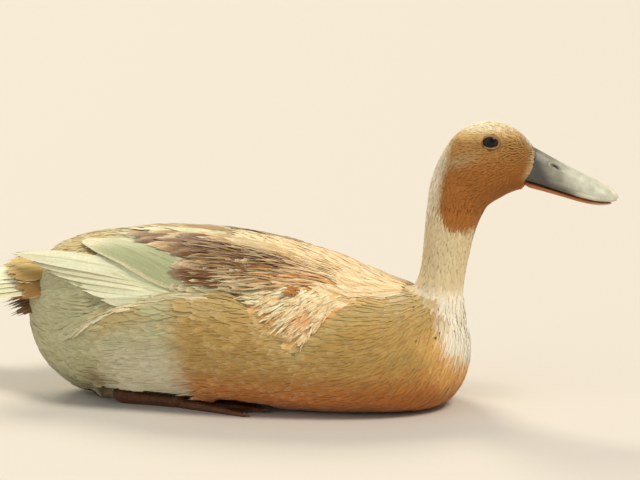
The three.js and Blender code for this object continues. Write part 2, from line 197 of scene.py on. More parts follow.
def new_material(name, viewport_colour):
    """A material with no nodes yet, and the function that adds them."""
    material = bpy.data.materials.new(name)
    material.use_nodes = True
    material.node_tree.nodes.clear()
    material.diffuse_color = (*viewport_colour, 1)
    return material, partial(add_node, material.node_tree)


def new_tree(name, output, inputs):
    """A Geometry Nodes tree, the function that adds nodes to it and the sockets of what it is given."""
    tree = bpy.data.node_groups.new(name, "GeometryNodeTree")
    for label, kind in inputs.items():
        tree.interface.new_socket(label, in_out="INPUT", socket_type="NodeSocket" + kind)
    tree.interface.new_socket(output, in_out="OUTPUT", socket_type="NodeSocketGeometry")
    add = partial(add_node, tree)
    return tree, add, add("NodeGroupInput").outputs


# ---- shapes in the bird's frame ----


def bird(points):
    """Points in metres in the model's frame as millimetres in the bird's."""
    return (np.asarray(points, float) - (BIRD_X, 0, 0)) / MM


def model(points):
    """The same, the other way."""
    return np.asarray(points, float) * MM + (BIRD_X, 0, 0)


def ease(value, low, high):
    """0 up to low, 1 from high, and smooth between. low may be the greater one."""
    t = np.clip((value - low) / (high - low), 0, 1)
    return t * t * (3 - 2 * t)


def blend(a, b, share):
    """From a at a share of 0 to b at 1, for each place."""
    return a + (b - a) * np.asarray(share)[..., None]


def layered(base, *layers):
    """A base colour under layers of others, each a colour and its share."""
    for tint, share in layers:
        base = blend(base, tint, share)
    return base


def unit(vectors):
    """The vectors at length 1."""
    return vectors / np.maximum(np.linalg.norm(vectors, axis=-1, keepdims=True), 1e-9)


def square_to(vectors, normals):
    """The directions, laid at right angles to the normals."""
    return unit(vectors - (vectors * normals).sum(1, keepdims=True) * normals)


def read(items, field, width=1, kind=float):
    """A field of each of a mesh's items, as an array."""
    values = np.empty(len(items) * width, kind)
    items.foreach_get(field, values)
    return values if width == 1 else values.reshape(-1, width)


def mesh_arrays(mesh):
    """A mesh's points, their normals and its triangles."""
    mesh.calc_loop_triangles()
    triangles = read(mesh.loop_triangles, "vertices", 3, int)
    return read(mesh.vertices, "co", 3), read(mesh.vertices, "normal", 3), triangles


def set_points(mesh, points):
    """Moves a mesh's points to new places."""
    mesh.vertices.foreach_set("co", np.asarray(points, np.float32).ravel())
    mesh.update()


def store(mesh, name, values):
    """One value for each point of the mesh, as an attribute."""
    values = np.asarray(values, np.float32)
    kinds = {1: ("FLOAT", "value"), 2: ("FLOAT2", "vector"), 3: ("FLOAT_VECTOR", "vector")}
    kind, field = kinds[1 if values.ndim == 1 else values.shape[1]]
    mesh.attributes.new(name, kind, "POINT").data.foreach_set(field, values.ravel())


def linked(name, mesh):
    """A mesh as a new object in the scene."""
    piece = bpy.data.objects.new(name, mesh)
    bpy.context.scene.collection.objects.link(piece)
    return piece


def made_plain(piece):
    """The piece with its modifiers turned into a plain mesh."""
    graph = bpy.context.evaluated_depsgraph_get()
    mesh = bpy.data.meshes.new_from_object(piece.evaluated_get(graph))
    piece.modifiers.clear()
    piece.data = mesh
    mesh.name = piece.name
    return piece


def merged_nodes(names, name, swell):
    """CAD nodes as one new piece, each face joined to its neighbours, swollen by a little."""
    shape = bmesh.new()
    for node in names:
        shape.from_mesh(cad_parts[node].data)
    bmesh.ops.remove_doubles(shape, verts=shape.verts, dist=1e-6)
    shape.normal_update()
    for vertex in shape.verts:
        vertex.co += vertex.normal * swell
    mesh = bpy.data.meshes.new(name)
    shape.to_mesh(mesh)
    shape.free()
    return linked(name, mesh)


def keep_largest(mesh):
    """Deletes every part of a mesh but the largest, such as a shell inside it."""
    shape = bmesh.new()
    shape.from_mesh(mesh)
    parts, seen = [], set()
    for start in shape.verts:
        if start in seen:
            continue
        part = [start]
        seen.add(start)
        for vertex in part:
            for other in (edge.other_vert(vertex) for edge in vertex.link_edges):
                if other not in seen:
                    seen.add(other)
                    part.append(other)
        parts.append(part)
    largest = max(parts, key=len)
    inner = [vertex for part in parts if part is not largest for vertex in part]
    bmesh.ops.delete(shape, geom=inner, context="VERTS")
    shape.to_mesh(mesh)
    shape.free()


def remeshed(names, name, step, rounds, swell, knuckles=()):
    """CAD nodes as one even skin with faces of a given size, smoothed for a number of rounds.
    knuckles are balls that fill out its joints: each a middle and a radius in the bird's frame."""
    piece = merged_nodes(names, name, swell)
    if knuckles:
        shape = bmesh.new()
        shape.from_mesh(piece.data)
        for middle, radius in knuckles:
            place = Matrix.Translation(model(middle).tolist())
            bmesh.ops.create_icosphere(shape, subdivisions=3, radius=radius * MM, matrix=place)
        shape.to_mesh(piece.data)
        shape.free()
    voxels = piece.modifiers.new("voxels", "REMESH")
    voxels.mode = "VOXEL"
    voxels.voxel_size = step
    smoother = piece.modifiers.new("smooth", "SMOOTH")
    smoother.factor = 0.5
    smoother.iterations = rounds
    made_plain(piece)
    keep_largest(piece.data)
    piece.data.shade_smooth()
    return piece


# ---- the lie and the markings of the coat ----

BODY_AXIS = 50  # the height of the line that angles round the body turn about
BILL_ROOT = (152, 0, 168)  # the face's feathers point away from here


def on_neck(q):
    """1 on the neck and head, 0 on the body."""
    x, _, z = q.T
    return ease(x, 46, 62) * ease(z, 66, 90)


def on_head(q):
    """1 on the head alone."""
    x, _, z = q.T
    return on_neck(q) * ease(z + 0.25 * (x - 95), 128, 148)


def lie(q, normals):
    """The way the feathers point at each place: from bill to tail, and down the neck and breast."""
    x, y, z = q.T
    side = np.sign(y)
    front = ease(x, 20, 104)
    body = np.stack(
        [-1 + 0.55 * front, side * 0.45 * front * ease(abs(y), 2, 30), -0.06 - 0.95 * front], -1
    )
    rear = ease(x, -130, -200)[:, None]
    body = body + rear * np.stack([0 * x, 0 * x, 0.25 * ease(z, 95, 60)], -1)
    down = np.stack([-0.12 + 0 * x, 0 * x, -1 + 0 * x], -1)
    from_bill = unit(q - BILL_ROOT) + (0, 0, -0.22)
    back_of_head = ease(x, 104, 84)
    head = blend(from_bill, down, back_of_head * 0.9)
    way = blend(body, blend(down, head, on_head(q)), on_neck(q))
    from_eye = unit((q - np.array(EYE_MIDDLE) * np.stack([0 * x + 1, side, 0 * x + 1], -1)) * (1, 0, 1))
    towards = np.minimum((way * from_eye).sum(1), 0) * ease(eye_distance(q), 2.6, 1.6)
    return square_to(way - towards[:, None] * from_eye * 1.2, normals)


def flank_top(x):
    """The height of the line where the flank's feathers cover the wing."""
    return np.interp(
        x,
        [-168, -142, -120, -80, -42, -24, -4, 8, 22, 34, 66],
        [44, 60, 71, 79, 79, 62, 46, 58, 69, 74, 76],
    )


def flank_ledge(q):
    """How far, in millimetres, the flank's feathers stand out over the wing and the vent."""
    x, y, z = q.T
    over = z - flank_top(x)
    high = 2.4 + 2.6 * ease(x, -84, -120)
    within = ease(over, 1.5, -5.5) * ease(over, -48, -14)
    return high * within * ease(x, -170, -158) * ease(x, -16, -58) * (abs(y) > 20)


def flank_edge(x, z):
    """1 along the flank's upper edge, where its feathers lie over the wing, and 0 away from it."""
    over = z - flank_top(x)
    return ease(over, -13, -3) * ease(over, 2, -1) * ease(x, -20, -50) * ease(x, -164, -154)


def face_edge(z):
    """How far back the fawn of the head reaches at a height."""
    return np.interp(z, [112, 118, 124, 134, 150, 165, 180, 188], [104, 92, 84, 81, 82.5, 86, 88, 96])


def markings(q, colours):
    """The coat's colour at each place, linear. The bird is alike on both sides."""
    x, _, z = q.T
    c = palette(colours)
    over = z - flank_top(x)
    # the breast is paler above and browner below
    layers = [
        (blend(c["gold"], c["olive"], 0.5 + 0 * z) * 0.9, ease(z, 58, 86) * 0.6),
        (c["deep"] * (1.25, 1.12, 0.9), ease(z, 42, 12) * 0.85),
        (c["gold"] * (1.1, 0.95, 0.72), ease(x + 0.4 * z, 84, 104) * ease(z, 60, 44) * 0.7),
    ]
    # the back, the mantle and the long scapulars
    back = ease(over, 2, 10) * ease(x, 60, 40)
    layers += [
        (c["gold"], ease(over, -2, 6) * ease(x, -60, -20)),
        (blend(c["gold"], c["olive"], ease(x, -40, -95)), back),
        # a deeper orange under the mantle's straps: painted warm shade that shows in the gaps between them
        (c["gold"] * (0.9, 0.62, 0.35), back * ease(x, -66, -40) * 0.8),
    ]
    # the rear flank is cream, with a strip of buff along its top
    below = np.maximum(ease(over, 3, -1), ease(x, -100, -112))
    rear = np.maximum(ease(x + 0.15 * (z - 40), -70, -94) * below, ease(x, -150, -158))
    cream_flank = blend(c["olive"] * 0.93, c["white"], ease(z, 62, 30) * ease(x, -150, -120) * 0.4)
    strip = ease(over, -17, -9) * ease(over, 2, -1) * ease(x, -146, -134)
    strip = strip * np.maximum(ease(x, -98, -112), ease(x, -90, -76) * ease(over, -13, -7))
    layers += [(cream_flank, rear), (c["buff"] * 0.8, strip * 0.7)]
    # the rump and the upper tail coverts are buff again, the belly and vent cream, the hock brown
    rump = ease(x, -128, -150) * ease(z, 88, 98)
    hock = np.exp(-(((x + 143) / 8) ** 2) - ((z - 19) / 10) ** 2)
    layers += [
        (blend(c["buff"], c["olive"], 0.35 + 0 * z), rump),
        (c["cream"], ease(z, 8, 2) * ease(x, 70, 30)),
        (c["brown"], hock * 0.75),
    ]
    # the white bib and neck, with a painted highlight of sun down the back of the neck
    line = x - np.interp(z, [24, 30, 40, 50, 60, 67, 75, 80, 92], [102, 97, 89, 87, 84, 80, 69, 58, 40])
    bib = ease(line, -6, 6) * ease(z, 22, 33)
    painted_neck_highlight = on_neck(q) * ease(x - np.interp(z, [60, 90, 120, 150], [66, 74, 80, 84]), -4, -12)
    layers += [
        (blend(c["cream"], c["white"], ease(z, 88, 64)), bib * ease(x, 40, 52)),
        (c["white"], painted_neck_highlight * 0.85),
    ]
    # the fawn head: a cap and cheeks with a painted highlight on the crown's top, and a pale nape made paler
    # still with painted light
    edge = x - face_edge(z)
    head = ease(edge, -1.5, 4) * ease(z - 0.12 * (x - 95), 115.5, 123)
    fawn = layered(
        blend(c["breast"] * (0.92, 0.8, 0.8), c["deep"] * (0.86, 0.94, 1.05), ease(z, 186, 156)),
        # gold and pale over the crown's top: a painted highlight of sun
        (c["gold"], ease(z, 178, 184) * 0.75),
        (c["pale"], ease(z, 183, 189) * 0.95),
    )
    # the nape is pale in its own colour and brightened further with painted light
    nape = on_neck(q) * ease(edge, 0, -4) * ease(z, 120, 150)
    layers += [(fawn, head * on_neck(q)), (blend(c["gold"], c["white"], 0.75 + 0 * z), nape * 0.9)]
    # pale skirts: a rim at the bill and a faint stripe from the nape to the eye
    rim = ease(x - face_front(q), -6, -2) * ease(z, 154, 158)
    stripe = np.exp(-(((z - 168 - 0.25 * (x - 100)) / 4.5) ** 2)) * ease(x, 114, 98)
    layers += [
        (c["cream"] * (0.8, 0.75, 0.65), rim * on_head(q) * 0.7),
        (c["olive"] * 0.9, stripe * on_head(q) * 0.3),
    ]
    return np.clip(layered(np.tile(c["breast"], (len(q), 1)), *layers), 0, 1)


def unwrap(q):
    """A place for each point on a flat unwrap of the skin, from 0 to 1 each way: the body is
    opened out round its length, and the neck and head round the neck."""
    x, y, z = q.T
    body = np.stack([(x + 212) / 320, np.arctan2(y, z - BODY_AXIS) / (2 * math.pi) + 0.5], -1)
    axis = np.interp(z, [30, 90, 120, 150, 195], [75, 83, 88, 96, 108])
    radial = np.hypot(x - axis, y)
    rise = np.where(z < 165, (z - 30) / 135 * 0.7, 0.7 + 0.3 * np.arctan2(z - 165, radial) / 1.571)
    neck = np.stack([np.arctan2(y, x - axis) / (2 * math.pi) + 0.5, rise], -1)
    return np.where((on_neck(q) > 0.5)[:, None], neck, body)


def coat_depth(q, sizes):
    """How deep the coat is over the skin, in metres."""
    depth = np.full(len(q), sizes.body_depth)
    depth = depth + (sizes.neck_depth - depth) * on_neck(q)
    return depth + (sizes.head_depth - depth) * on_head(q)


def face_front(q):
    """How far forward the feathers reach at each height of the face: a rounded line round the bill."""
    heights = [148, 152, 155, 159, 164, 170, 174, 177, 180, 184]
    reach = [135.5, 136.5, 139, 142, 144, 144.8, 144, 142.4, 140, 137]
    return np.interp(q[:, 2], heights, reach)


def softened(mesh, values, rounds, directions=True):
    """Each point's values evened out with its neighbours', several times. Directions keep length 1."""
    ends = read(mesh.edges, "vertices", 2, int)
    near = 1 + np.bincount(ends.ravel(), minlength=len(values))[:, None]
    for _ in range(rounds):
        total = values.copy()
        for axis in range(values.shape[1]):
            for a, b in (ends.T, ends.T[::-1]):
                total[:, axis] += np.bincount(a, values[b, axis], len(values))
        values = unit(total) if directions else total / near
    return values


def leg_hollows(q, normals):
    """1 on the walls and ceilings of the two hollows that the legs lie in."""
    x, y, z = q.T
    place = (z < 15.5) * (x > -149.5) * (x < -60) * (abs(y) > 19.5) * (abs(y) < 50)
    return 1.0 * place * ((np.sign(y) * normals[:, 1] < 0.55) | (abs(y) < 21.5))


# ---- the skin ----

SEAM_SWELL = 0.25 * MM  # solids grow by this before they are joined, so that their seams close
STUB_HEIGHT = 160  # the middle of the skin's stub inside the bill
SOCKET_DEPTH = 1.5  # how far the socket's floor lies under the eyeball's middle


def eye_distance(q):
    """How far each point is from the nearer eye's middle, seen from the side, in eye radii."""
    x, y, z = q.T
    away = np.hypot((x - EYE_MIDDLE.x) / EYE_RADII.x, (z - EYE_MIDDLE.z) / (0.86 * EYE_RADII.z))
    return away + 100 * (abs(y) < 5)


class DUCK_OT_skin(Operator):
    """Makes one skin that lies inside the solid flesh by the depth of the coat"""

    bl_idname = "duck.skin"
    bl_label = "Skin"

    def execute(self, context):
        sizes, colours = context.scene.duck_coat, context.scene.duck_colours
        skin = remeshed(FLESH + EYES + BILL, "skin", sizes.skin_step, rounds=8, swell=SEAM_SWELL)
        points, normals, _ = mesh_arrays(skin.data)
        q = bird(points)
        x = q[:, 0]
        # the bare walls of the hollows round the legs stay where they are, and near them the skin
        # is moved less
        bare = leg_hollows(q, normals)
        covered = softened(skin.data, 1 - bare[:, None], 3, directions=False)[:, 0]
        points = points - normals * (coat_depth(q, sizes) * covered * (1 - bare))[:, None]
        points = points + normals * (flank_ledge(q) * MM)[:, None]
        # inside the bill the skin shrinks to a stub
        front = face_front(q)
        stub = model(np.stack([np.minimum(x, front + 3), 0 * x, 0 * x + STUB_HEIGHT], -1))
        hidden = 1 - 0.6 * ease(x - front, 0, 5)[:, None]
        in_bill = ((x > front) & (on_head(q) > 0.5))[:, None]
        points = np.where(in_bill, stub + (points - stub) * hidden, points)
        # the eye's socket has a flat floor under the eyeball
        socket = ease(eye_distance(q), 1.2, 0.95)
        floor_of_socket = (EYE_MIDDLE.y - SOCKET_DEPTH) * MM * np.sign(points[:, 1])
        points[:, 1] += socket * (floor_of_socket - points[:, 1])
        set_points(skin.data, points)
        points, normals, _ = mesh_arrays(skin.data)
        q = bird(points)
        store(skin.data, "smooth_normal", softened(skin.data, normals, 12))
        store(skin.data, "coat_colour", markings(q, colours))
        store(skin.data, "bare", bare)
        skin.data.materials.append(down_material())
        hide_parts(*FLESH)
        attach(skin, "root")
        return {"FINISHED"}


# ---- feathers ----

BARB_PITCH = 0.9  # mm between drawn barbs. Real ones are nearer 0.4 mm, too fine to show.


def plumage_material(name, gloss, barb_shade, shaft=0.0):
    """Keratin vanes, grown as barbs side by side: matt, with fine lines that run out and forwards
    from the shaft, a soft bloom at grazing angles and a paler fringe where the barbs part. shaft
    is how dark the shaft's line is."""
    material, add = new_material(name, linear("#c79a5c"))
    colours = bpy.context.scene.duck_colours
    tint, place, edge, core, local = (
        add("ShaderNodeAttribute", attribute_name=key)
        for key in ("coat_colour", "vane_place", "pale_edge", "dark_core", "vane_local")
    )
    at = add("ShaderNodeSeparateXYZ", [place.outputs["Vector"]]).outputs
    share = add("ShaderNodeSeparateXYZ", [local.outputs["Vector"]]).outputs
    aside = add("ShaderNodeMath", [at["X"]], operation="ABSOLUTE")
    barb = add("ShaderNodeMath", [aside, -1.1, at["Y"]], operation="MULTIPLY_ADD")
    across_barbs = add("ShaderNodeMath", [barb, BARB_PITCH], operation="DIVIDE")
    streak_place = add("ShaderNodeCombineXYZ", [across_barbs, at["X"], at["Z"]])
    streaks = add("ShaderNodeTexNoise", {"Vector": streak_place, "Scale": 1.0, "Detail": 3.0})
    stretch = add("ShaderNodeMapping", {"Vector": place.outputs["Vector"], "Scale": (0.75, 0.05, 1.0)})
    strands = add("ShaderNodeTexNoise", {"Vector": stretch, "Scale": 1.0, "Detail": 2.0})
    grain = add("ShaderNodeMath", [streaks, strands], operation="ADD")
    shade = add("ShaderNodeMapRange", [grain, 0.75, 1.25])
    shadow_tone = tuple(1 - barb_shade * k for k in (1.0, 1.35, 1.8))
    streak = add("ShaderNodeMix", {0: shade, 6: (*shadow_tone, 1), 7: (1, 1, 1, 1)}, data_type="RGBA")
    # how far out a place is on its vane, made ragged by the barbs, sets the fringe and the dark core
    aside_share = add("ShaderNodeMath", [share["X"]], operation="ABSOLUTE")
    outer = add("ShaderNodeMath", [aside_share, share["Y"]], operation="MAXIMUM")
    ragged = add("ShaderNodeMath", [streaks, 0.3, outer], operation="MULTIPLY_ADD")
    fringe, core_shape, outer_half, shaft_line = (
        add("ShaderNodeMapRange", values, interpolation_type="SMOOTHSTEP")
        for values in (
            [ragged, 0.86, 1.08], [ragged, 0.95, 0.55], [share["Y"], 0.15, 0.6],
            [aside, 0.3, 0.7, 1 - shaft, 1.0],
        )
    )
    core_place = add("ShaderNodeMath", [core_shape, outer_half], operation="MULTIPLY")
    shown = tint
    for part, amount, laid in ((core_place, core, colours.brown), (fringe, edge, colours.pale)):
        factor = add("ShaderNodeMath", [part, amount.outputs["Fac"]], operation="MULTIPLY")
        shown = add("ShaderNodeMix", {0: factor, 6: shown, 7: (*laid, 1)}, data_type="RGBA")
    for tone in (streak, shaft_line):
        shown = add(
            "ShaderNodeMix", {0: 1.0, 6: shown, 7: tone}, data_type="RGBA", blend_type="MULTIPLY"
        )
    bump = add("ShaderNodeBump", {"Height": grain, "Strength": 0.25, "Distance": 0.3 * MM})
    shader = add("ShaderNodeBsdfPrincipled", {
        "Base Color": shown, "Roughness": gloss, "IOR": 1.54, "Specular IOR Level": 0.3,
        "Sheen Weight": 0.12, "Sheen Roughness": 0.5, "Normal": bump,
    })
    add("ShaderNodeOutputMaterial", {"Surface": shader})
    return material


def mottled_material(name, viewport, attribute, blotch, grain, finish):
    """A material in an attribute's colour, mottled by soft blotches, with a fine bump. blotch is
    how many there are to a millimetre, their detail and the range of their shade. grain is the
    bump's count to a millimetre, its detail, its strength and its depth in millimetres."""
    material, add = new_material(name, linear(viewport))
    tint = add("ShaderNodeAttribute", attribute_name=attribute)
    place = add("ShaderNodeTexCoord").outputs["Object"]
    if blotch:
        count, detail, *ends = blotch
        noise = add("ShaderNodeTexNoise", {"Vector": place, "Scale": count / MM, "Detail": detail})
        shade = add("ShaderNodeMapRange", [noise, *ends])
        tint = add("ShaderNodeMix", {0: 1.0, 6: tint, 7: shade}, data_type="RGBA", blend_type="MULTIPLY")
    count, detail, strength, depth = grain
    fine = add("ShaderNodeTexNoise", {"Vector": place, "Scale": count / MM, "Detail": detail})
    bump = add("ShaderNodeBump", {"Height": fine, "Strength": strength, "Distance": depth * MM})
    shader = add("ShaderNodeBsdfPrincipled", {"Base Color": tint, "Normal": bump, **finish})
    add("ShaderNodeOutputMaterial", {"Surface": shader})
    return material


def down_material():
    """Down and the hidden bases of the feathers: loose fibre, fully matt, as pale as its coat."""
    return mottled_material(
        "under_down", "#d8c9a0", "coat_colour", (0.9, 3.0, 0.0, 1.0, 0.8, 1.0), (0.9, 3.0, 0.5, 0.4),
        {"Roughness": 0.9, "Specular IOR Level": 0.2, "Sheen Weight": 0.3},
    )


# Each kind of vane: its faces across, how wide it is at each row of points along its length, how
# much its tip is rounded, how deep its fringe is cut and how far its shaft stands out.
VANES = {
    "contour": (6, [0.35, 0.75, 1, 1, 0.88, 0.62], 0.2, 0.13, 0),
    "strap": (4, [0.4, 0.75, 0.95, 1, 0.95, 0.8, 0.55, 0.2], 0.06, 0.05, 0.6),
    "wisp": (2, [0.5, 1, 0.85, 0.55, 0.1], 0, 0, 0.5),
    "velvet": (2, [0.7, 1, 0.25], 0, 0, 0.5),
    "broad": (6, [0.3, 0.72, 0.92, 1, 1, 1, 1, 0.99, 0.93, 0.76, 0.42], 0.06, 0.02, 1.2),
    "tail": (6, [0.3, 0.7, 0.9, 0.97, 1, 1, 1, 1, 0.98, 0.9, 0.74, 0.4], 0.1, 0, 1.2),
    "quill": (6, [0.3, 0.7, 0.9, 0.97, 1, 1, 1, 0.97, 0.9, 0.76, 0.52, 0.12], 0.04, 0, 1.2),
}
ROOT_DIP = -10  # how far a root end dives into the coat, in thicknesses
RUFFLES = 0.26  # to a millimetre, along a wavy vane
DENSEST = 4e6  # roots to a square metre, before the spacing thins them


def vane(kind):
    """A closed, thin vane, one unit long and wide. across and along say where each point is on it,
    and side is 0 on the upper face, more on the shaft and -1 under the middle."""
    name = "vane_" + kind
    if name in bpy.data.objects:
        return bpy.data.objects[name]
    columns, widths, rounded, cut, shaft = VANES[kind]
    rows = len(widths) - 1
    row = columns + 1  # points in a row
    points, across, along, side = [], [], [], []
    for j, width in enumerate(widths):
        for i in range(row):
            u = 2 * i / columns - 1
            v = j / rows - rounded * u * u * (j / rows) ** 2
            if j == rows and i % 2 != (columns // 2) % 2:
                v -= cut * (1 - abs(u))
            points.append((0.5 * u * width, v, 0))
            across.append(u * width)
            along.append(v)
            side.append(ROOT_DIP if j == 0 else shaft * (2 * i == columns and j < rows))
    corners = [j * row + i for j in range(rows) for i in range(columns)]
    faces = [(a, a + 1, a + row + 1, a + row) for a in corners]
    rim = list(range(row))
    rim += [j * row + columns for j in range(1, rows + 1)]
    rim += [rows * row + i for i in range(columns - 1, -1, -1)]
    rim += [j * row for j in range(rows - 1, 0, -1)]
    hub = len(points)
    points.append((0, 0.5, 0))
    faces += [(b, a, hub) for a, b in zip(rim, rim[1:] + rim[:1])]
    mesh = bpy.data.meshes.new(name)
    mesh.from_pydata(points, [], faces)
    hard = [set(e.vertices) <= set(rim) and abs(e.vertices[0] - e.vertices[1]) in (1, row)
            for e in mesh.edges]
    mesh.attributes.new("sharp_edge", "BOOLEAN", "EDGE").data.foreach_set("value", hard)
    store(mesh, "across", across + [0])
    store(mesh, "along", along + [0.5])
    store(mesh, "side", side + [-1])
    return bpy.data.objects.new(name, mesh)


def coat_tree():
    """Grows a vane on every root and lays it along the skin. Each root has its own attributes:
    lie and smooth_normal aim it, vane_size gives its width and length, and lift, camber, tilt,
    bend, wrap and ruffle shape it. A wrap of 0 leaves the vane straight, as on a spread tail."""
    name = "duck_coat"
    if name in bpy.data.node_groups:
        return bpy.data.node_groups[name]
    tree, add, given = new_tree(name, "Coat", {
        "Roots": "Geometry", "Vane": "Object", "Skin": "Object", "Material": "Material",
        "Thickness": "Float", "Patch": "Float", "Seed": "Int",
    })
    number = {
        key: add("GeometryNodeInputNamedAttribute", {"Name": key}, data_type="FLOAT")
        for key in ("across", "along", "side", "lift", "camber", "tilt", "bend", "wrap", "ruffle", "base")
    }
    vector = {
        key: add("GeometryNodeInputNamedAttribute", {"Name": key}, data_type="FLOAT_VECTOR")
        for key in ("lie", "smooth_normal", "vane_size", "root_place")
    }
    across, along, upwards = number["across"], number["along"], vector["smooth_normal"]
    aim = add(
        "FunctionNodeAxesToRotation", [upwards, vector["lie"]], primary_axis="Z", secondary_axis="Y"
    )
    source, skin = (
        add("GeometryNodeObjectInfo", {"Object": given[key]}).outputs["Geometry"] for key in ("Vane", "Skin")
    )
    grown = add("GeometryNodeInstanceOnPoints", {
        "Points": given["Roots"], "Instance": source, "Rotation": aim, "Scale": vector["vane_size"],
    })
    real = add("GeometryNodeRealizeInstances", [grown])
    here = add("GeometryNodeInputPosition")
    nearest = add("GeometryNodeProximity", {0: skin, "Sample Position": here}, target_element="FACES")
    upright = add(
        "GeometryNodeSampleNearestSurface",
        {"Mesh": skin, "Value": upwards, "Sample Position": nearest}, data_type="FLOAT_VECTOR",
    )
    laid, out = (
        add("ShaderNodeMix", {0: number["wrap"], 4: straight, 5: wrapped}, data_type="VECTOR")
        for straight, wrapped in ((here, nearest), (upwards, upright))
    )
    # the height over the skin: it rises to the tip, sags at the sides, leans and curls
    rise = add("ShaderNodeMath", [along, 0.8], operation="POWER")
    sag, lean, curl, minus_camber = (
        add("ShaderNodeMath", pair, operation="MULTIPLY")
        for pair in ([across, across], [across, along], [along, along], [number["camber"], -1.0])
    )
    waves = add(
        "ShaderNodeTexNoise", {"Vector": here, "Scale": RUFFLES / MM, "Detail": 1.0}, noise_dimensions="3D"
    )
    centred = add("ShaderNodeMath", [waves, 0.5], operation="SUBTRACT")
    wavy = add("ShaderNodeMath", [centred, number["ruffle"]], operation="MULTIPLY")
    height = number["base"]
    for share, amount in (
        (rise, number["lift"]), (sag, minus_camber), (lean, number["tilt"]), (curl, number["bend"]),
        (number["side"], given["Thickness"]), (wavy, along),
    ):
        height = add("ShaderNodeMath", [share, amount, height], operation="MULTIPLY_ADD")
    raised = add("ShaderNodeVectorMath", {0: out, "Scale": height}, operation="SCALE")
    moved = add("ShaderNodeVectorMath", [laid, raised], operation="ADD")
    # nothing sinks into the floor
    parts = add("ShaderNodeSeparateXYZ", [moved]).outputs
    low = add("ShaderNodeMath", [parts["Z"], 0.25 * MM], operation="MAXIMUM")
    kept = add("ShaderNodeCombineXYZ", [parts["X"], parts["Y"], low])
    last = add("GeometryNodeSetPosition", {"Geometry": real, "Position": kept})
    # each point's place on its vane: as shares, in millimetres and on the flat unwrap
    size = add("ShaderNodeSeparateXYZ", [vector["vane_size"]]).outputs
    root_number = add("GeometryNodeInputNamedAttribute", {"Name": "root_number"}, data_type="INT")
    chance = add(
        "FunctionNodeRandomValue", {"Max": 500.0, "Seed": given["Seed"], "ID": root_number},
        data_type="FLOAT",
    )
    local = add("ShaderNodeCombineXYZ", [across, along])
    half_width = add("ShaderNodeMath", [size["X"], 0.5 / MM], operation="MULTIPLY")
    full_length = add("ShaderNodeMath", [size["Y"], 1 / MM], operation="MULTIPLY")
    sized = add("ShaderNodeCombineXYZ", [half_width, full_length])
    real_place = add("ShaderNodeVectorMath", [local, sized], operation="MULTIPLY")
    own_layer = add("ShaderNodeCombineXYZ", {"Z": chance})
    apart = add("ShaderNodeVectorMath", [real_place, own_layer], operation="ADD")
    centred_local = add(
        "ShaderNodeVectorMath", [local, (0.5, 1.0, 0.0), (0.0, -0.5, 0.0)], operation="MULTIPLY_ADD"
    )
    patch = add("ShaderNodeVectorMath", {0: centred_local, "Scale": given["Patch"]}, operation="SCALE")
    bake = add("ShaderNodeVectorMath", [vector["root_place"], patch], operation="ADD")
    for label, kind, domain, value in (
        ("OFBake", "FLOAT2", "CORNER", bake),
        ("vane_place", "FLOAT_VECTOR", "POINT", apart),
        ("vane_local", "FLOAT_VECTOR", "POINT", local),
    ):
        last = add(
            "GeometryNodeStoreNamedAttribute", {"Geometry": last, "Name": label, "Value": value},
            data_type=kind, domain=domain,
        )
    smooth = add("GeometryNodeSetShadeSmooth", {"Geometry": last})
    finished = add("GeometryNodeSetMaterial", {"Geometry": smooth, "Material": given["Material"]})
    add("NodeGroupOutput", {"Coat": finished})
    return tree


def scatter_tree():
    """Spreads roots over the skin, no two nearer than a distance, where the skin allows it."""
    name = "duck_roots"
    if name in bpy.data.node_groups:
        return bpy.data.node_groups[name]
    tree, add, given = new_tree(name, "Roots", {"Skin": "Geometry", "Spacing": "Float", "Seed": "Int"})
    wanted = add("GeometryNodeInputNamedAttribute", {"Name": "wanted"}, data_type="FLOAT")
    spread = add("GeometryNodeDistributePointsOnFaces", {
        "Mesh": given["Skin"], "Distance Min": given["Spacing"], "Density Max": DENSEST,
        "Density Factor": wanted, "Seed": given["Seed"],
    }, distribute_method="POISSON")
    vertices = add("GeometryNodePointsToVertices", [spread])
    real = add("GeometryNodeRealizeInstances", [vertices])
    add("NodeGroupOutput", {"Roots": real})
    return tree


def with_nodes(piece, tree, values):
    """Gives the piece a Geometry Nodes modifier, sets its inputs and turns it into a mesh."""
    modifier = piece.modifiers.new(tree.name, "NODES")
    modifier.node_group = tree
    for item in tree.interface.items_tree:
        if item.in_out == "INPUT" and item.name in values:
            modifier[item.identifier] = values[item.name]
    return made_plain(piece)


class Places:
    """Places on the skin in the bird's frame, with the angle of each round the body, in degrees:
    0 on the back and 90 on either side."""

    def __init__(self, q):
        self.q = q
        self.x, self.y, self.z = q.T
        self.angle = np.degrees(np.arctan2(abs(self.y), self.z - BODY_AXIS))


class Roots(Places):
    """Where the feathers of one piece root: their places, which way is up from the skin there, the
    ways they point, the piece's seed and its random numbers."""

    def __init__(self, q, up, way, seed, rng=None):
        super().__init__(q)
        self.up, self.way, self.seed, self.rng = up, way, seed, rng

    def varied(self, spread, middle=0):
        """A number for each root, on both sides of a middle."""
        return middle + self.rng.normal(0, spread, len(self.q))

    def between(self, low, high):
        """A number for each root between two."""
        return self.rng.uniform(low, high, len(self.q))


def jittered(way, up, spread, rng):
    """The directions, each turned a little on the skin."""
    turn = rng.normal(0, spread, (len(way), 1)).clip(-1.7 * spread, 1.7 * spread)
    return unit(way * np.cos(turn) + np.cross(up, way) * np.sin(turn))


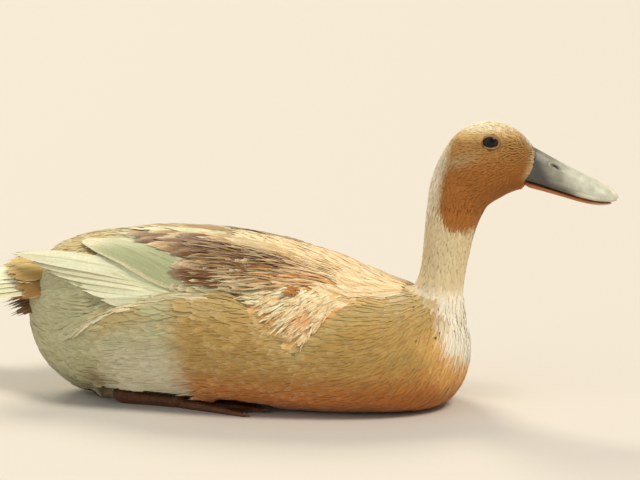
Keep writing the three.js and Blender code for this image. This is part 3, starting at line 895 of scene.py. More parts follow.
def scatter(wanted, spacing, seed):
    """Root places and skin normals, a spacing apart, where wanted(places) is over 0."""
    ground = linked("ground", bpy.data.objects["skin"].data.copy())
    places = Places(bird(read(ground.data.vertices, "co", 3)))
    covered = 1 - read(ground.data.attributes["bare"].data, "value")
    store(ground.data, "wanted", wanted(places) * covered)
    with_nodes(ground, scatter_tree(), {"Spacing": spacing * MM, "Seed": seed})
    q = bird(read(ground.data.vertices, "co", 3))
    up = unit(read(ground.data.attributes["smooth_normal"].data, "vector", 3))
    bpy.data.objects.remove(ground)
    return q, up


def rooted(wanted, spacing, spread, seed, rng=None, aim=lie):
    """Roots scattered over a region, each aimed along the coat's lie and then turned by a random
    angle. spacing is in millimetres, and spread is the angle's deviation in radians."""
    q, up = scatter(wanted, spacing, seed)
    rng = rng or np.random.default_rng(seed)
    return Roots(q, up, jittered(aim(q, up), up, spread, rng), seed, rng)


# How far a vane's tip lifts, its sides sag, it leans and bends, how closely it wraps round the skin,
# how wavy it is, how high its root is, and how pale its edge and how dark its middle are.
SHAPE_DEFAULTS = {
    "lift": 3.0, "camber": 0.6, "tilt": 0.0, "bend": 0.0, "wrap": 1.0, "ruffle": 0.0, "base": 0.2,
    "pale_edge": 0.15, "dark_core": 0.0,
}
PATCH = 0.003  # how much of the flat unwrap each vane covers


def grow(name, kind, roots, width, long, material, slot, thickness=0.25, tint=None, **shape):
    """Grows one coat piece: a vane on each root, in the coat's own markings or in tint. shape holds
    values for the keys of SHAPE_DEFAULTS. Lengths are in millimetres."""
    rng = np.random.default_rng(roots.seed)
    count = len(roots.q)
    ones = np.ones(count)
    reach = (long * ones)[:, None]
    # a vane takes the colour of where its outer part lies, and neighbours differ a little
    shown = roots.q + roots.way * reach * 0.7
    shown = shown + rng.normal(0, 1.1, (count, 3)) * np.minimum(reach / 12, 1)
    tint = markings(shown, bpy.context.scene.duck_colours) if tint is None else tint
    tint = tint * rng.normal(1, 0.05, (count, 1)) * rng.normal(1, 0.012, (count, 3))
    place = unwrap(roots.q)
    low, high = place.min(0), place.max(0)
    place = 0.02 + 0.96 * (place - low) / np.maximum(high - low, 1e-6)
    mesh = bpy.data.meshes.new(name)
    mesh.from_pydata(model(roots.q), [], [])
    store(mesh, "lie", roots.way)
    store(mesh, "smooth_normal", roots.up)
    store(mesh, "vane_size", np.stack([width * ones * MM, long * ones * MM, ones], -1))
    store(mesh, "root_place", np.concatenate([place, np.zeros((count, 1))], 1))
    store(mesh, "coat_colour", np.clip(tint, 0, 1))
    mesh.attributes.new("root_number", "INT", "POINT").data.foreach_set("value", np.arange(count))
    for key, default in SHAPE_DEFAULTS.items():
        value = shape.get(key, default) * ones
        store(mesh, key, value if key in ("wrap", "pale_edge", "dark_core") else value * MM)
    piece = linked(name, mesh)
    with_nodes(piece, coat_tree(), {
        "Vane": vane(kind), "Skin": bpy.data.objects["skin"], "Material": material,
        "Thickness": thickness * MM, "Patch": PATCH, "Seed": roots.seed,
    })
    piece.data.materials.pop(index=0)
    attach(piece, "root")
    return piece


def over_flank(p):
    """1 over the line where the flank's feathers cover the wing."""
    return ease(p.z - flank_top(p.x), 0, 3) * ease(p.x, 66, 60) * ease(p.x, -172, -168)


def under_wing(p):
    """1 where the wing and the scapulars hide the body's own feathers."""
    return over_flank(p) * ease(p.x, -146, -136) * ease(p.x, -16, -26) * ease(p.angle, 14, 20)


def hollow_rim(p):
    """1 along the rims of the legs' hollows, where the coat thins out."""
    return ease(p.z, 20, 14.5) * ease(p.x, -158, -150) * ease(p.x, -56, -64) * (abs(p.y) > 18)


def fall_of_edge(q, up):
    """The way along the flank's upper edge, towards the tail."""
    x = q[:, 0]
    fall = (flank_top(x - 6) - flank_top(x)) / 6
    return square_to(unit(np.stack([-1 + 0 * fall, 0 * fall, fall], -1)), up)


# The body's coat is grown in three pieces: from which length along the body to which.
BODY_PIECES = {"rear": (-400, -96), "flank": (-96, -18), "breast": (-18, 400)}


class DUCK_OT_body_coat(Operator):
    """Grows the contour feathers of the breast, flanks, belly, back and rump"""

    bl_idname = "duck.body_coat"
    bl_label = "Body feathers"

    def execute(self, context):
        material = plumage_material("contour_feathers", 0.72, 0.12)
        seed = context.scene.duck_coat.seed
        for n, (name, (start, end)) in enumerate(BODY_PIECES.items()):
            within = lambda p: (p.x > start) * (p.x <= end) * (on_neck(p.q) < 0.5)
            # the contour feathers, and then finer wisps among them
            r = rooted(within, 4.1, 0.08, seed + n)
            size = r.varied(0.07, 1)
            long = 18 + 4 * ease(r.x, 80, -20) - 3 * ease(r.x, -150, -200) - 7 * ease(r.x, 50, 90)
            wide = (7.5 - 1.5 * ease(r.x, 40, 72)) * size
            edge, hidden, rim = flank_edge(r.x, r.z), under_wing(r), hollow_rim(r)
            flat = (1 - 0.6 * ease(r.x, 20, 60)) * (1 - 0.7 * hidden) * (1 - 0.75 * rim)
            grow(name + "_coat", "contour", r, wide, long * (1 - 0.4 * rim) * size, material,
                 "fawn_plumage", base=1.8 + 2.2 * edge - 1.5 * hidden - 1.7 * rim,
                 lift=1.15 * size * flat, camber=0.22 * flat, tilt=r.varied(0.1) * flat, thickness=0.14)
            r = rooted(within, 3.1, 0.12, seed + n + 5, r.rng)
            size = r.varied(0.15, 1)
            edge, hidden, rim = flank_edge(r.x, r.z), under_wing(r), hollow_rim(r)
            grow(name + "_wisps", "wisp", r, 1.7 * size, 12 * size, material, "fawn_plumage",
                 base=2.3 + 2.2 * edge - 2.0 * hidden - 2.0 * rim,
                 lift=0.9 * size * (1 - 0.5 * ease(r.x, 20, 60)), camber=0.1, pale_edge=0, thickness=0.12)

        def on_highlit_flank_edge(p):
            """The flank's upper edge, where it stands off the wing and the vent."""
            over = p.z - flank_top(p.x)
            within = ease(over, -4.0, -3.4) * ease(over, 0.2, -0.4)
            return within * ease(p.x, -148, -146) * ease(p.x, -58, -62) * (abs(p.y) > 20)

        # pale wisps along that edge: a painted highlight where the edge catches the light
        r = rooted(on_highlit_flank_edge, 2.0, 0.06, seed + 9, aim=fall_of_edge)
        c = palette(context.scene.duck_colours)
        tint = blend(c["gold"], c["bright"], r.between(0.3, 1)) * 0.9
        grow("flank_rim", "wisp", r, 1.6, 12.0, material, "cream_plumage", tint=tint,
             base=4.7, lift=0.7, camber=0.1, thickness=0.15)
        return {"FINISHED"}


def on_face(p):
    """1 on the head, clear of the bill and the eyes."""
    return (on_head(p.q) >= 0.5) * (eye_distance(p.q) > 0.99) * (p.x < face_front(p.q))


def by_bill(p):
    """1 in the narrow strip where the face meets the bill."""
    behind = face_front(p.q) - p.x
    return (on_head(p.q) >= 0.5) * (behind > -0.3) * (behind < 1.5)


def below_head(p):
    """1 on the neck alone."""
    return (on_neck(p.q) >= 0.5) * (on_head(p.q) < 0.5)


# The neck's and head's pieces: where each grows, and its spacing, length and width.
NECK_PIECES = {
    "neck_coat": (below_head, 1.4, 8.5, 2.2),
    "head_coat": (on_face, 1.0, 4.6, 1.15),
    "bill_fringe": (by_bill, 0.55, 3.0, 0.9),
}


class DUCK_OT_neck_coat(Operator):
    """Grows the short, velvety feathers of the neck and head"""

    bl_idname = "duck.neck_coat"
    bl_label = "Neck and head feathers"

    def execute(self, context):
        sizes = context.scene.duck_coat
        material = plumage_material("velvet_feathers", 0.78, 0.07)
        for n, (name, (region, spacing, long, wide)) in enumerate(NECK_PIECES.items()):
            r = rooted(region, spacing, 0.1, sizes.seed + 20 + n)
            size = r.varied(0.1, 1)
            if name == "bill_fringe":
                size = size * (0.8 + 0.2 * ease(face_front(r.q) - r.x, 0, 1.5))
            elif name == "head_coat":
                size = size * (1 - 0.4 * ease(r.x, 112, 138))
                size = size * (0.55 + 0.45 * ease(eye_distance(r.q), 1.1, 2.2))
            else:
                size = size * (1 + 0.3 * ease(r.z, 110, 70) - 0.25 * ease(r.z, 118, 140))
            depth = coat_depth(r.q, sizes) / MM
            base = 0.4 * depth + 0.9 * ease(r.x, 116, 132) * ease(r.z, 164, 176)
            grow(name, "velvet", r, wide * size, long * size, material, "cream_plumage", base=base,
                 lift=0.14 * depth * size, camber=0.1, pale_edge=0, thickness=0.1)
        return {"FINISHED"}


def skin_tree():
    """The skin as a tree for rays, in the bird's frame, with its even normals."""
    skin = bpy.data.objects["skin"].data
    points, _, triangles = mesh_arrays(skin)
    ups = read(skin.attributes["smooth_normal"].data, "vector", 3)
    return BVHTree.FromPolygons(bird(points).tolist(), triangles.tolist()), ups, triangles


def on_skin(tree, x, angle, side):
    """The skin's point and normal at a length along the body and an angle round it."""
    turn = math.radians(angle)
    ray = Vector((0, side * math.sin(turn), math.cos(turn)))
    hit, _, face, _ = tree[0].ray_cast(Vector((x, 0, BODY_AXIS)), ray)
    return np.array(hit), unit(tree[1][tree[2][face]].mean(0))


def shared(pair, t):
    """A value between a pair's two, as numbers or points."""
    return np.array(pair[0], float) + (np.array(pair[1], float) - np.array(pair[0], float)) * t


# Rows of long feathers on the wing and shoulder: each from its lowest feather to its highest.
# root and tip are a length along the body and an angle round it; wide is in millimetres.
WING_ROWS = {
    "secondaries": {
        "count": 6, "root": ((-60, 72), (-52, 62)), "tip": ((-140, 58), (-146, 24)), "wide": (15, 18),
        "base": (1.6, 0.6), "lift": (5.0, 2.2), "bright": (0.7, 0.9), "tone": (0.95, 0.97, 0.92),
    },
    "tertials": {
        "count": 5, "root": ((-58, 63), (-44, 38)), "tip": ((-160, 14), (-134, 11)), "wide": (22, 17),
        "base": (3.2, 0.8), "lift": (6.2, 2.0), "bright": (0.2, 0.4), "tone": (0.64, 0.7, 0.64),
    },
}
# The dark patches of the scapulars: a length along the body, an angle round it and a radius.
DARK_PATCHES = ((-106, 25, 15), (-72, 33, 22), (-42, 45, 22), (-68, 54, 16), (-92, 42, 9))


def darkness(x, angle):
    """How dark the shoulder's feathers are at a length along the body and an angle round it."""
    near = [np.exp(-(((x - px) / r) ** 2) - ((angle - pa) / (0.55 * r)) ** 2) for px, pa, r in DARK_PATCHES]
    return np.max(near, axis=0)


# The loose side tuft hangs in a notch of the flank: its corners, as x and z.
TUFT = ((-56, 83), (32, 85), (-3, 44))


def in_tuft(q):
    """1 inside the tuft's outline."""
    x, _, z = q.T
    inside = np.ones(len(q))
    for (ax, az), (bx, bz) in zip(TUFT, TUFT[1:] + TUFT[:1]):
        inside *= (bx - ax) * (z - az) - (bz - az) * (x - ax) < 0
    return inside


def tuft_way(q):
    """The tuft's feathers hang down at its front and sweep back behind."""
    t = ease(q[:, 0], -34, 16)
    return unit(np.stack([-0.95 + 0.3 * t, 0 * t, -0.3 - 0.5 * t], -1))


def lay_wing_row(name, row, side, label, seed, tree, colours, material):
    """Lays one row of long feathers, each from its root on the skin to its tip."""
    rng = np.random.default_rng(seed)
    blades = []
    for i in range(row["count"]):
        t = i / (row["count"] - 1)
        x, angle = shared(row["root"], t) + rng.normal(0, 0.6, 2)
        tip_x, tip_angle = shared(row["tip"], t) + rng.normal(0, 0.8, 2)
        root, up = on_skin(tree, x, angle, side)
        reach = on_skin(tree, tip_x, tip_angle, side)[0] - root
        way = reach - (reach @ up) * up
        base = shared(row["base"], t) + 0.3 * i
        blades.append((root, up, way / np.linalg.norm(way), np.linalg.norm(reach) * 1.03,
                       shared(row["wide"], t), base, shared(row["lift"], t)))
    root, up, way, long, wide, base, lift = (np.array(values) for values in zip(*blades))
    r = Roots(root, up, way, seed, rng)
    share = shared(row["bright"], r.between(0, 1))
    tint = blend(colours["olive"], colours["bright"], share) * row["tone"]
    grow(f"{name}_{label}", "broad", r, wide, long, material, "cream_plumage", tint=tint,
         base=base, lift=lift, bend=-0.75 * lift, camber=0.5, tilt=side * 0.5, pale_edge=0.45,
         thickness=0.4)


class DUCK_OT_wings(Operator):
    """Lays the folded wings: secondaries and tertials in rows, then coverts and scapulars over them"""

    bl_idname = "duck.wings"
    bl_label = "Folded wings"

    def execute(self, context):
        c = palette(context.scene.duck_colours)
        flight = plumage_material("flight_feathers", 0.55, 0.16, shaft=0.14)
        silky = plumage_material("scapular_feathers", 0.62, 0.24)
        tree = skin_tree()
        for n, (name, row) in enumerate(WING_ROWS.items()):
            for side, label in SIDES:
                lay_wing_row(name, row, side, label, 40 + n, tree, c, flight)

        def on_coverts(p):
            return over_flank(p) * (p.x < -16) * (p.x > -74) * (p.angle > 43) * (1 - in_tuft(p.q))

        # the coverts: short, overlapping rows under the scapulars, olive-brown with pale edges
        r = rooted(on_coverts, 5.4, 0.07, seed=45)
        brown = r.between(0.1, 0.75) * (1 - 0.8 * ease(r.angle, 50, 58))
        pale = ease(r.angle, 60, 63) * 0.6
        tint = layered(c["olive"] * 0.9, (c["brown"] * 1.5, brown), (c["bright"], pale))
        grow("wing_coverts", "contour", r, 9.5, 25.0, silky, "cream_plumage", tint=tint,
             base=3.0 + 0.02 * (r.x + 78), lift=2.0, camber=0.6, pale_edge=0.6,
             dark_core=r.between(0.1, 0.6), tilt=r.varied(0.2), thickness=0.3)

        def on_scapulars(p):
            within = (p.x < 8) * (p.x > -54 - 34 * ease(p.angle, 38, 32))
            return over_flank(p) * within * (p.angle > 15) * (p.angle < 52) * (1 - in_tuft(p.q))

        # the scapulars: long, silky straps with pale fringes, dark in patches
        r = rooted(on_scapulars, 6.6, 0.06, seed=46)
        size = r.varied(0.08, 1)
        dark = np.clip(1.6 * darkness(r.x - 20, r.angle) * r.between(0.6, 1.2), 0, 1)
        spine = ease(r.angle, 26, 8)
        tint = layered(
            c["gold"] * 0.85, (c["pale"], r.between(0, 0.7)),
            (blend(c["buff"] * 0.75, c["olive"], r.between(0, 1)), spine * 0.8),
            (c["brown"] * (0.78, 0.56, 0.36), 0.94 * dark),
        )
        grow("scapulars", "strap", r, 9.5 * size, 38 * size, silky, "cream_plumage", tint=tint,
             base=4.4 - 1.6 * spine - 1.6 * ease(r.x, -22, -2), lift=1.5 - 0.6 * spine, camber=0.6,
             dark_core=np.clip(1.4 * dark, 0, 1), pale_edge=0.6 - 0.42 * dark, ruffle=0.4,
             tilt=r.varied(0.12), thickness=0.3)
        return {"FINISHED"}


def patch_of(x, other, middle, radii):
    """1 at the middle of a soft, round patch, and 0 away from it."""
    return np.exp(-(((x - middle[0]) / radii[0]) ** 2) - ((other - middle[1]) / radii[1]) ** 2)


class DUCK_OT_mantle(Operator):
    """Grows the long, silky feathers of the mantle and back, and the loose tuft under the wing"""

    bl_idname = "duck.mantle"
    bl_label = "Mantle, back and side tuft"

    def execute(self, context):
        c = palette(context.scene.duck_colours)
        silky = bpy.data.materials["scapular_feathers"]

        def on_mantle(p):
            return over_flank(p) * ease(p.x, -36, -34) * (1 - in_tuft(p.q))

        r = rooted(on_mantle, 3.7, 0.08, seed=61)
        size = r.varied(0.08, 1)
        tint = blend(c["gold"], c["pale"], r.between(0.1, 1))
        grow("mantle", "strap", r, 6.2 * size, 27 * size, silky, "fawn_plumage", tint=tint, base=2.6,
             lift=1.3, camber=0.3, pale_edge=0.8, dark_core=0.2 * r.between(0, 1),
             tilt=r.varied(0.14), ruffle=0.7)

        def near_spine(p):
            return over_flank(p) * (p.angle < 34) * (p.x < -30) * (p.x > -150)

        # the back's straps, raised and dark in a ridge along the spine
        r = rooted(near_spine, 6.0, 0.08, seed=62)
        ridge = ease(r.angle, 15, 11) * ease(r.x, -34, -40) * ease(r.x, -112, -106)
        tint = layered(
            c["buff"] * 0.8, (c["olive"], r.between(0, 1)),
            (c["gold"] * (0.5, 0.38, 0.22), ridge * r.between(0.4, 1)),
            (blend(c["olive"] * 1.1, c["bright"], 0.5), ridge * ease(r.angle, 6, 8.5)),
        )
        base = 1.8 + 2.2 * ridge * ease(r.x, -38, -72) * ease(r.x, -112, -92)
        grow("back_straps", "strap", r, 9.0, 32.0, silky, "fawn_plumage", tint=tint, base=base,
             lift=0.9, camber=0.5, pale_edge=0.5, dark_core=0.5 * r.between(0, 1),
             tilt=r.varied(0.3), ruffle=0.6)

        def on_shoulder(p):
            return over_flank(p) * (p.x > -62) * (p.angle < 60) * (1 - in_tuft(p.q))

        # loose barbs that run over the shoulder's feathers
        r = rooted(on_shoulder, 3.4, 0.1, seed=63)
        size = r.varied(0.2, 1)
        dark = darkness(r.x - 10, r.angle) * r.between(0.3, 1.3)
        spine = ease(r.angle, 22, 8) * ease(r.x, 20, -40)
        warm = patch_of(r.x, r.angle, (-3, 51), (20, 8))
        tint = layered(
            c["gold"] * 0.85, (c["pale"], r.between(-0.3, 1).clip(0, 1)),
            (blend(c["buff"] * 0.7, c["olive"], r.between(0, 1)), spine),
            (c["brown"] * (0.96, 0.8, 0.58), np.clip(1.5 * dark, 0, 0.95)),
            # a warm orange patch over the shoulder: painted warm shade among the barbs
            (c["gold"] * (0.85, 0.5, 0.25), warm * r.between(0, 1)),
        )
        height = 1.6 * ease(r.x, 34, 14) + 1.6 * ease(r.x, 0, -20)
        grow("shoulder_barbs", "wisp", r, 1.3 * size, 19 * size, silky, "fawn_plumage", tint=tint,
             base=2.6 + height * ease(r.angle, 16, 32), lift=0.8, camber=0.1, thickness=0.12,
             ruffle=0.6, pale_edge=0.3)

        def on_spot(p):
            away = np.hypot((p.x + 5) / 4.2, (p.z - 81.5) / 1.5)
            return ease(away, 1.05, 0.95) * (p.angle > 30)

        # a small bare place over the side tuft, where the coat beneath shows orange
        r = rooted(on_spot, 1.4, 0.15, seed=65)
        tint = blend(c["deep"], c["gold"], r.between(0, 0.5))
        grow("side_gap", "wisp", r, 1.8, 6.0, silky, "fawn_plumage", tint=tint, base=6.0,
             lift=0.5, camber=0.1, thickness=0.12, pale_edge=0)

        def hanging(p):
            return in_tuft(p.q + tuft_way(p.q) * 19) * (p.z > 50) * (p.angle > 52)

        # the side tuft, with warm orange at the middle of its lower part: painted shade among its strands
        r = rooted(hanging, 1.5, 0.2, seed=64, aim=lambda q, up: square_to(tuft_way(q), up))
        size = r.varied(0.14, 1)
        x, _, z = (r.q + r.way * 12).T
        warm = patch_of(x, z, (1, 66), (7, 9))
        tint = layered(
            c["pale"] * 1.12, (c["gold"] * (1.15, 1.0, 0.85), r.between(-0.9, 0.8).clip(0, 1)),
            (c["gold"] * (1.0, 0.62, 0.32), warm * r.between(0, 0.8)),
        )
        grow("side_tuft", "strap", r, 1.6 * size, 17 * size, silky, "fawn_plumage", tint=tint,
             base=1.6, lift=3.0 * size, camber=0.1, ruffle=5.0, tilt=r.varied(0.3), pale_edge=0.5,
             thickness=0.15)
        return {"FINISHED"}


# The folded primaries, from the longest to the shortest: the middle of each root and tip.
PRIMARY_ROOTS = ((-88, 54.0, 87), (-76, 59.0, 75.5))
PRIMARY_TIPS = ((-211, 22.5, 98.6), (-137, 55.5, 73.0))
PRIMARY_BOW = 26  # how far the longest one bends in towards the rump
PRIMARY_COUNT = 6
PRIMARY_WIDTH = 13.5
LEFT_TIP_SHIFT = (18, 14, -13)  # the far wing is folded a little tighter than the near one


class DUCK_OT_primaries(Operator):
    """Stacks the long primaries that reach past each folded wing"""

    bl_idname = "duck.primaries"
    bl_label = "Primaries"

    def execute(self, context):
        c = palette(context.scene.duck_colours)
        t = np.arange(PRIMARY_COUNT)[:, None] / (PRIMARY_COUNT - 1)
        for side, label in SIDES:
            mirror = np.array((1, side, 1))
            root = shared(PRIMARY_ROOTS, t) * mirror
            tip = shared(PRIMARY_TIPS, t) * mirror
            if side > 0:
                tip = tip + np.array(LEFT_TIP_SHIFT) * (1 - t)
            lean = np.radians(32 + 10 * (1 - t[:, 0]))
            up = unit(np.stack([0 * lean - 0.2, side * np.cos(lean), np.sin(lean)], -1))
            bow = PRIMARY_BOW * (1 - 0.75 * t)
            up = square_to(up, unit(tip + bow * up - root))
            reach = tip + bow * up - root
            blades = grow(
                "primary_feathers_" + label, "quill", Roots(root, up, unit(reach), seed=70), PRIMARY_WIDTH,
                np.linalg.norm(reach, axis=1), bpy.data.materials["flight_feathers"], "cream_plumage",
                tint=blend(c["bright"], c["olive"], 0.35 * (t[:, 0] * 5 % 2)),
                base=0.3 + 2.6 * t[:, 0], lift=0.3, camber=0.35, tilt=side * 0.4, wrap=0,
                bend=-bow[:, 0], pale_edge=0.25, thickness=0.4,
            )
            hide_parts("primaries_" + label)
        return {"FINISHED"}


RUMP_SEED = 90
# The tail's feathers fan from here.
TAIL_ROOT = (-172, 0, 87)
TAIL_ARCH = 7.65  # how much lower the outer feathers root than the middle one
# Each row: its vane, how many, its length, spread, width, base, lift, colours and droop.
TAIL_ROWS = {
    "tail_feathers": ("tail", 16, 92, 24, 14, 0.0, 0.0, "bright", "olive", 0.07),
    "tail_coverts": ("contour", 44, 44, 25, 9, 2.4, 2.0, "buff", "breast", 0.05),
    "short_tail_coverts": ("contour", 40, 31, 30, 9, 4.6, 2.0, "buff", "breast", 0.05),
    # the under tail coverts' deep and brown are in part painted shade, the shadow beneath the tail
    "under_tail_coverts": ("contour", 48, 54, 26, 9, -4.0, -3.0, "deep", "brown", 0.34),
}


class DUCK_OT_tail(Operator):
    """Spreads the tail feathers and the coverts over and under their bases"""

    bl_idname = "duck.tail"
    bl_label = "Tail"

    def execute(self, context):
        c = palette(context.scene.duck_colours)
        material = bpy.data.materials["flight_feathers"]
        for n, (name, row) in enumerate(TAIL_ROWS.items()):
            kind, count, long, spread, wide, base, lift, near, far, drop = row
            rng = np.random.default_rng(80 + n)
            feather = name == "tail_feathers"
            t = np.arange(count) / (count - 1) * 2 - 1
            if not feather:
                t = rng.permutation(t)
            turn = np.radians(spread) * t
            way = unit(np.stack([-np.cos(turn), np.sin(turn), -drop - 0.06 * t * t], -1))
            up = square_to(np.stack([0 * t, 0.35 * t, 1 + 0 * t], -1), way)
            root = np.array(TAIL_ROOT) + np.stack([5 * t * t, 13 * t, -TAIL_ARCH * t * t], -1)
            r = Roots(root, up, way, 80 + n, rng)
            size = r.varied(0.02 if feather else 0.1, 1)
            crown = (1 - abs(t)) if feather else r.between(0, 1)
            # the rows that droop most, the under tail coverts, are darkened further as painted shade under
            # the tail
            tint = blend(c[near], c[far], r.between(0, 0.7)) * (0.7 if drop > 0.2 else 1)
            piece = grow(name, kind, r, wide, long * (1 - 0.2 * t * t) * size, material,
                         "cream_plumage", tint=tint, base=base + np.sign(lift + 0.1) * 1.4 * crown,
                         lift=lift, camber=0.8, wrap=0, bend=-0.6 * crown, pale_edge=0.3, thickness=0.4)
            if feather:
                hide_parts("tail")
        # coverts rooted on the body's rear end, straight out round the base of the tail
        at_rump = lambda p: ease(p.x, -182, -184) * ease(p.z, 72, 74) * ease(p.z, 95, 93)
        q, _ = scatter(at_rump, 3.6, RUMP_SEED)
        _, y, z = q.T
        way = unit(np.stack([-1 + 0 * y, 0.006 * y, -0.1 + 0.01 * (z - 84)], -1))
        up = square_to(unit(np.stack([0 * y, 0.03 * y, 0.55 + 0 * y], -1)), way)
        rng = np.random.default_rng(RUMP_SEED)
        r = Roots(q, up, jittered(way, up, 0.07, rng), RUMP_SEED, rng)
        long = 21 + 7 * ease(z, 78, 90) + r.varied(2)
        # browner and darker lower down: a real change from buff to brown, with painted shade under the curve
        # of the coverts
        tint = layered(
            c["buff"] * (1.0, 0.98, 0.85), (c["breast"] * (0.8, 0.68, 0.54), ease(z, 91, 81)),
            (c["brown"], r.between(0, 0.4) * ease(z, 90, 82)),
        )
        grow("rump_coverts", "contour", r, 9.0, long, material, "cream_plumage", tint=tint, base=0.5,
             lift=1.0, camber=0.8, wrap=0, bend=-2.5, pale_edge=0.2, thickness=0.3, tilt=r.varied(0.1))
        return {"FINISHED"}


# ---- bill ----

NOSTRIL = Vector((157.7, 163.7))  # x and z
NOSTRIL_SLOPE = math.radians(-27)
LAMELLA_PITCH = 1.7  # mm between the ridges on the bill's lower edge


def upper_edge(x):
    """The height of the upper bill's lower edge."""
    return np.interp(x, [133, 151, 173, 184, 196, 198.2], [156, 151, 144.7, 142.2, 141.4, 142])


def sculpted_upper_bill(points, normals):
    """The upper bill with its nostrils, the raised nail and the lip along the edge."""
    q = bird(points)
    x, y, z = q.T
    along = (x - NOSTRIL.x) * math.cos(NOSTRIL_SLOPE) + (z - NOSTRIL.y) * math.sin(NOSTRIL_SLOPE)
    above = (z - NOSTRIL.y) * math.cos(NOSTRIL_SLOPE) - (x - NOSTRIL.x) * math.sin(NOSTRIL_SLOPE)
    oval = np.hypot(along / 3.6, above / 1.5)
    upper = normals[:, 2] > -0.2
    pit = -1.5 * ease(oval, 1.05, 0.35) * upper
    rim = 0.3 * np.exp(-(((oval - 1.35) / 0.3) ** 2)) * upper
    edge = upper_edge(x)
    height = z - edge
    lip = -0.4 * np.exp(-(((height - 3.2) / 0.9) ** 2)) * ease(x, 140, 150) * ease(x, 193, 184)
    ridges = 0.14 * np.sin(x * 2 * math.pi / LAMELLA_PITCH) * ease(height, 2.4, 1.0) * ease(x, 192, 186)
    nail_oval = np.hypot((x - 194) / 5.2, y / 4.4)
    nail = 0.55 * ease(nail_oval, 1.1, 0.85) * (normals[:, 2] > 0)
    tucked = -1.7 * ease(face_front(q) - x, -0.3, 2.2)
    return points + normals * ((pit + rim + lip + ridges + nail + tucked) * MM)[:, None]


def slimmed_lower_bill(points):
    """The lower bill, thinner than its solid. Its rear end narrows and rises, hidden in the cheek."""
    x, y, z = bird(points).T
    inside = ease(x, 142, 134)
    z = z + 2.6 * inside
    below = np.maximum(upper_edge(x) - 0.3 - z, 0)
    return model(np.stack([x, y * (1 - 0.4 * inside), z + 0.36 * below], -1))


def bill_colours(q, settings, low_part):
    """The horn's colour at each place: slate at the base, pale to the tip, flesh underneath."""
    x, y, z = q.T
    c = palette(settings)
    if low_part:
        result = blend(c["flesh"], c["nail"], ease(x, 176, 192) * 0.5)
        return blend(result, c["flesh"] * (0.4, 0.2, 0.16), ease(x, 145, 136))
    line = x + 0.5 * (z - 160)
    over = z - upper_edge(x)
    nail = ease(np.hypot((x - 194) / 5.2, y / 4.4), 1.3, 0.8)
    lip = ease(over, 1.1, 0.2) * ease(x, 168, 182)
    around = np.hypot((x - NOSTRIL.x) / 3.4, (z - NOSTRIL.y + 0.5 * (x - NOSTRIL.x)) / 1.4)
    return layered(
        c["base"], (c["middle"], ease(line, 148, 157)), (c["far"], ease(line, 156, 174)),
        # darker along the lower side towards the base: painted shade under the bill
        (c["nail"], nail * 0.9), (c["base"] * 0.8, ease(over, 5, 2) * ease(x, 176, 164) * 0.8),
        (c["flesh"] * (1.25, 1.0, 0.95), lip * 0.6),
        # near black in the nostril: painted shade of its opening
        (c["base"] * 0.35, ease(around, 0.9, 0.4) * (over > 6)),
    )


class DUCK_OT_bill(Operator):
    """Makes the upper and lower bill with the nostrils, the nail and the lips"""

    bl_idname = "duck.bill"
    bl_label = "Bill"

    def execute(self, context):
        settings = context.scene.duck_bill
        for node, low_part in (("bill_upper", False), ("bill_lower", True)):
            piece = remeshed([node], node + "_horn", 2 * settings.step, rounds=12, swell=SEAM_SWELL)
            finer = piece.modifiers.new("finer", "SUBSURF")
            finer.levels = finer.render_levels = 1
            made_plain(piece)
            points, normals, _ = mesh_arrays(piece.data)
            if low_part:
                points = slimmed_lower_bill(points)
            else:
                points = sculpted_upper_bill(points, softened(piece.data, normals, 3))
            set_points(piece.data, points)
            store(piece.data, "horn_colour", bill_colours(bird(points), settings, low_part))
            piece.data.materials.append(horn_material(low_part))
            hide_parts(node)
            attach(piece, "root")
        return {"FINISHED"}


def horn_material(low_part):
    """Soft horn over bone, grown and worn smooth: satin and a little waxy, with faint blotches."""
    return mottled_material(
        "lower_bill_skin" if low_part else "upper_bill_horn", "#8d9282", "horn_colour",
        (0.16, 4.0, 0.35, 0.65, 0.8, 1.12), (0.9, 2.0, 0.15, 0.2),
        {"Roughness": 0.44, "IOR": 1.5, "Coat Weight": 0.12, "Coat Roughness": 0.3},
    )


# ---- eyes ----

EYE_OPENING = (5.2, 3.7)  # half the length and height of the opening between the lids
EYE_TILT = math.radians(-4)
PUPIL = 2.7
IRIS = 4.3
# The lids' rings, from inside the eye's edge over the rim and down under the feathers: how wide
# each is, in openings, and how far it stands out.
LID_RINGS = (
    (0.96, -1.6), (1.0, 0.0), (1.02, 0.16), (1.05, 0.18), (1.09, 0.0), (1.15, -0.6), (1.28, -1.8),
)
LID_CORNERS = 56
OUTSIDE = 40  # a distance from the middle that is clear of the head
HALF_FACE = 13.5  # half the width of the face at the eye


def eye_material():
    """A wet cornea over a dark brown iris: the sharpest gloss on the bird."""
    settings = bpy.context.scene.duck_eyes
    material, add = new_material("wet_cornea", settings.iris)
    place = add("ShaderNodeTexCoord").outputs["Object"]
    middle = tuple(model(tuple(EYE_MIDDLE)))
    from_middle = add("ShaderNodeVectorMath", [place, middle], operation="SUBTRACT")
    flat = add("ShaderNodeVectorMath", [from_middle, (1 / MM, 0, 1 / MM)], operation="MULTIPLY")
    away = add("ShaderNodeVectorMath", [flat], operation="LENGTH")
    shown = (*settings.pupil, 1)
    for low, high, outer in (
        (PUPIL - 0.2, PUPIL + 0.3, settings.iris), (IRIS - 0.6, IRIS + 0.2, settings.pupil),
    ):
        ramp = add("ShaderNodeMapRange", [away, low, high], interpolation_type="SMOOTHSTEP")
        shown = add("ShaderNodeMix", {0: ramp, 6: shown, 7: (*outer, 1)}, data_type="RGBA")
    shader = add("ShaderNodeBsdfPrincipled", {"Base Color": shown, "Roughness": 0.05, "IOR": 1.34})
    add("ShaderNodeOutputMaterial", {"Surface": shader})
    return material


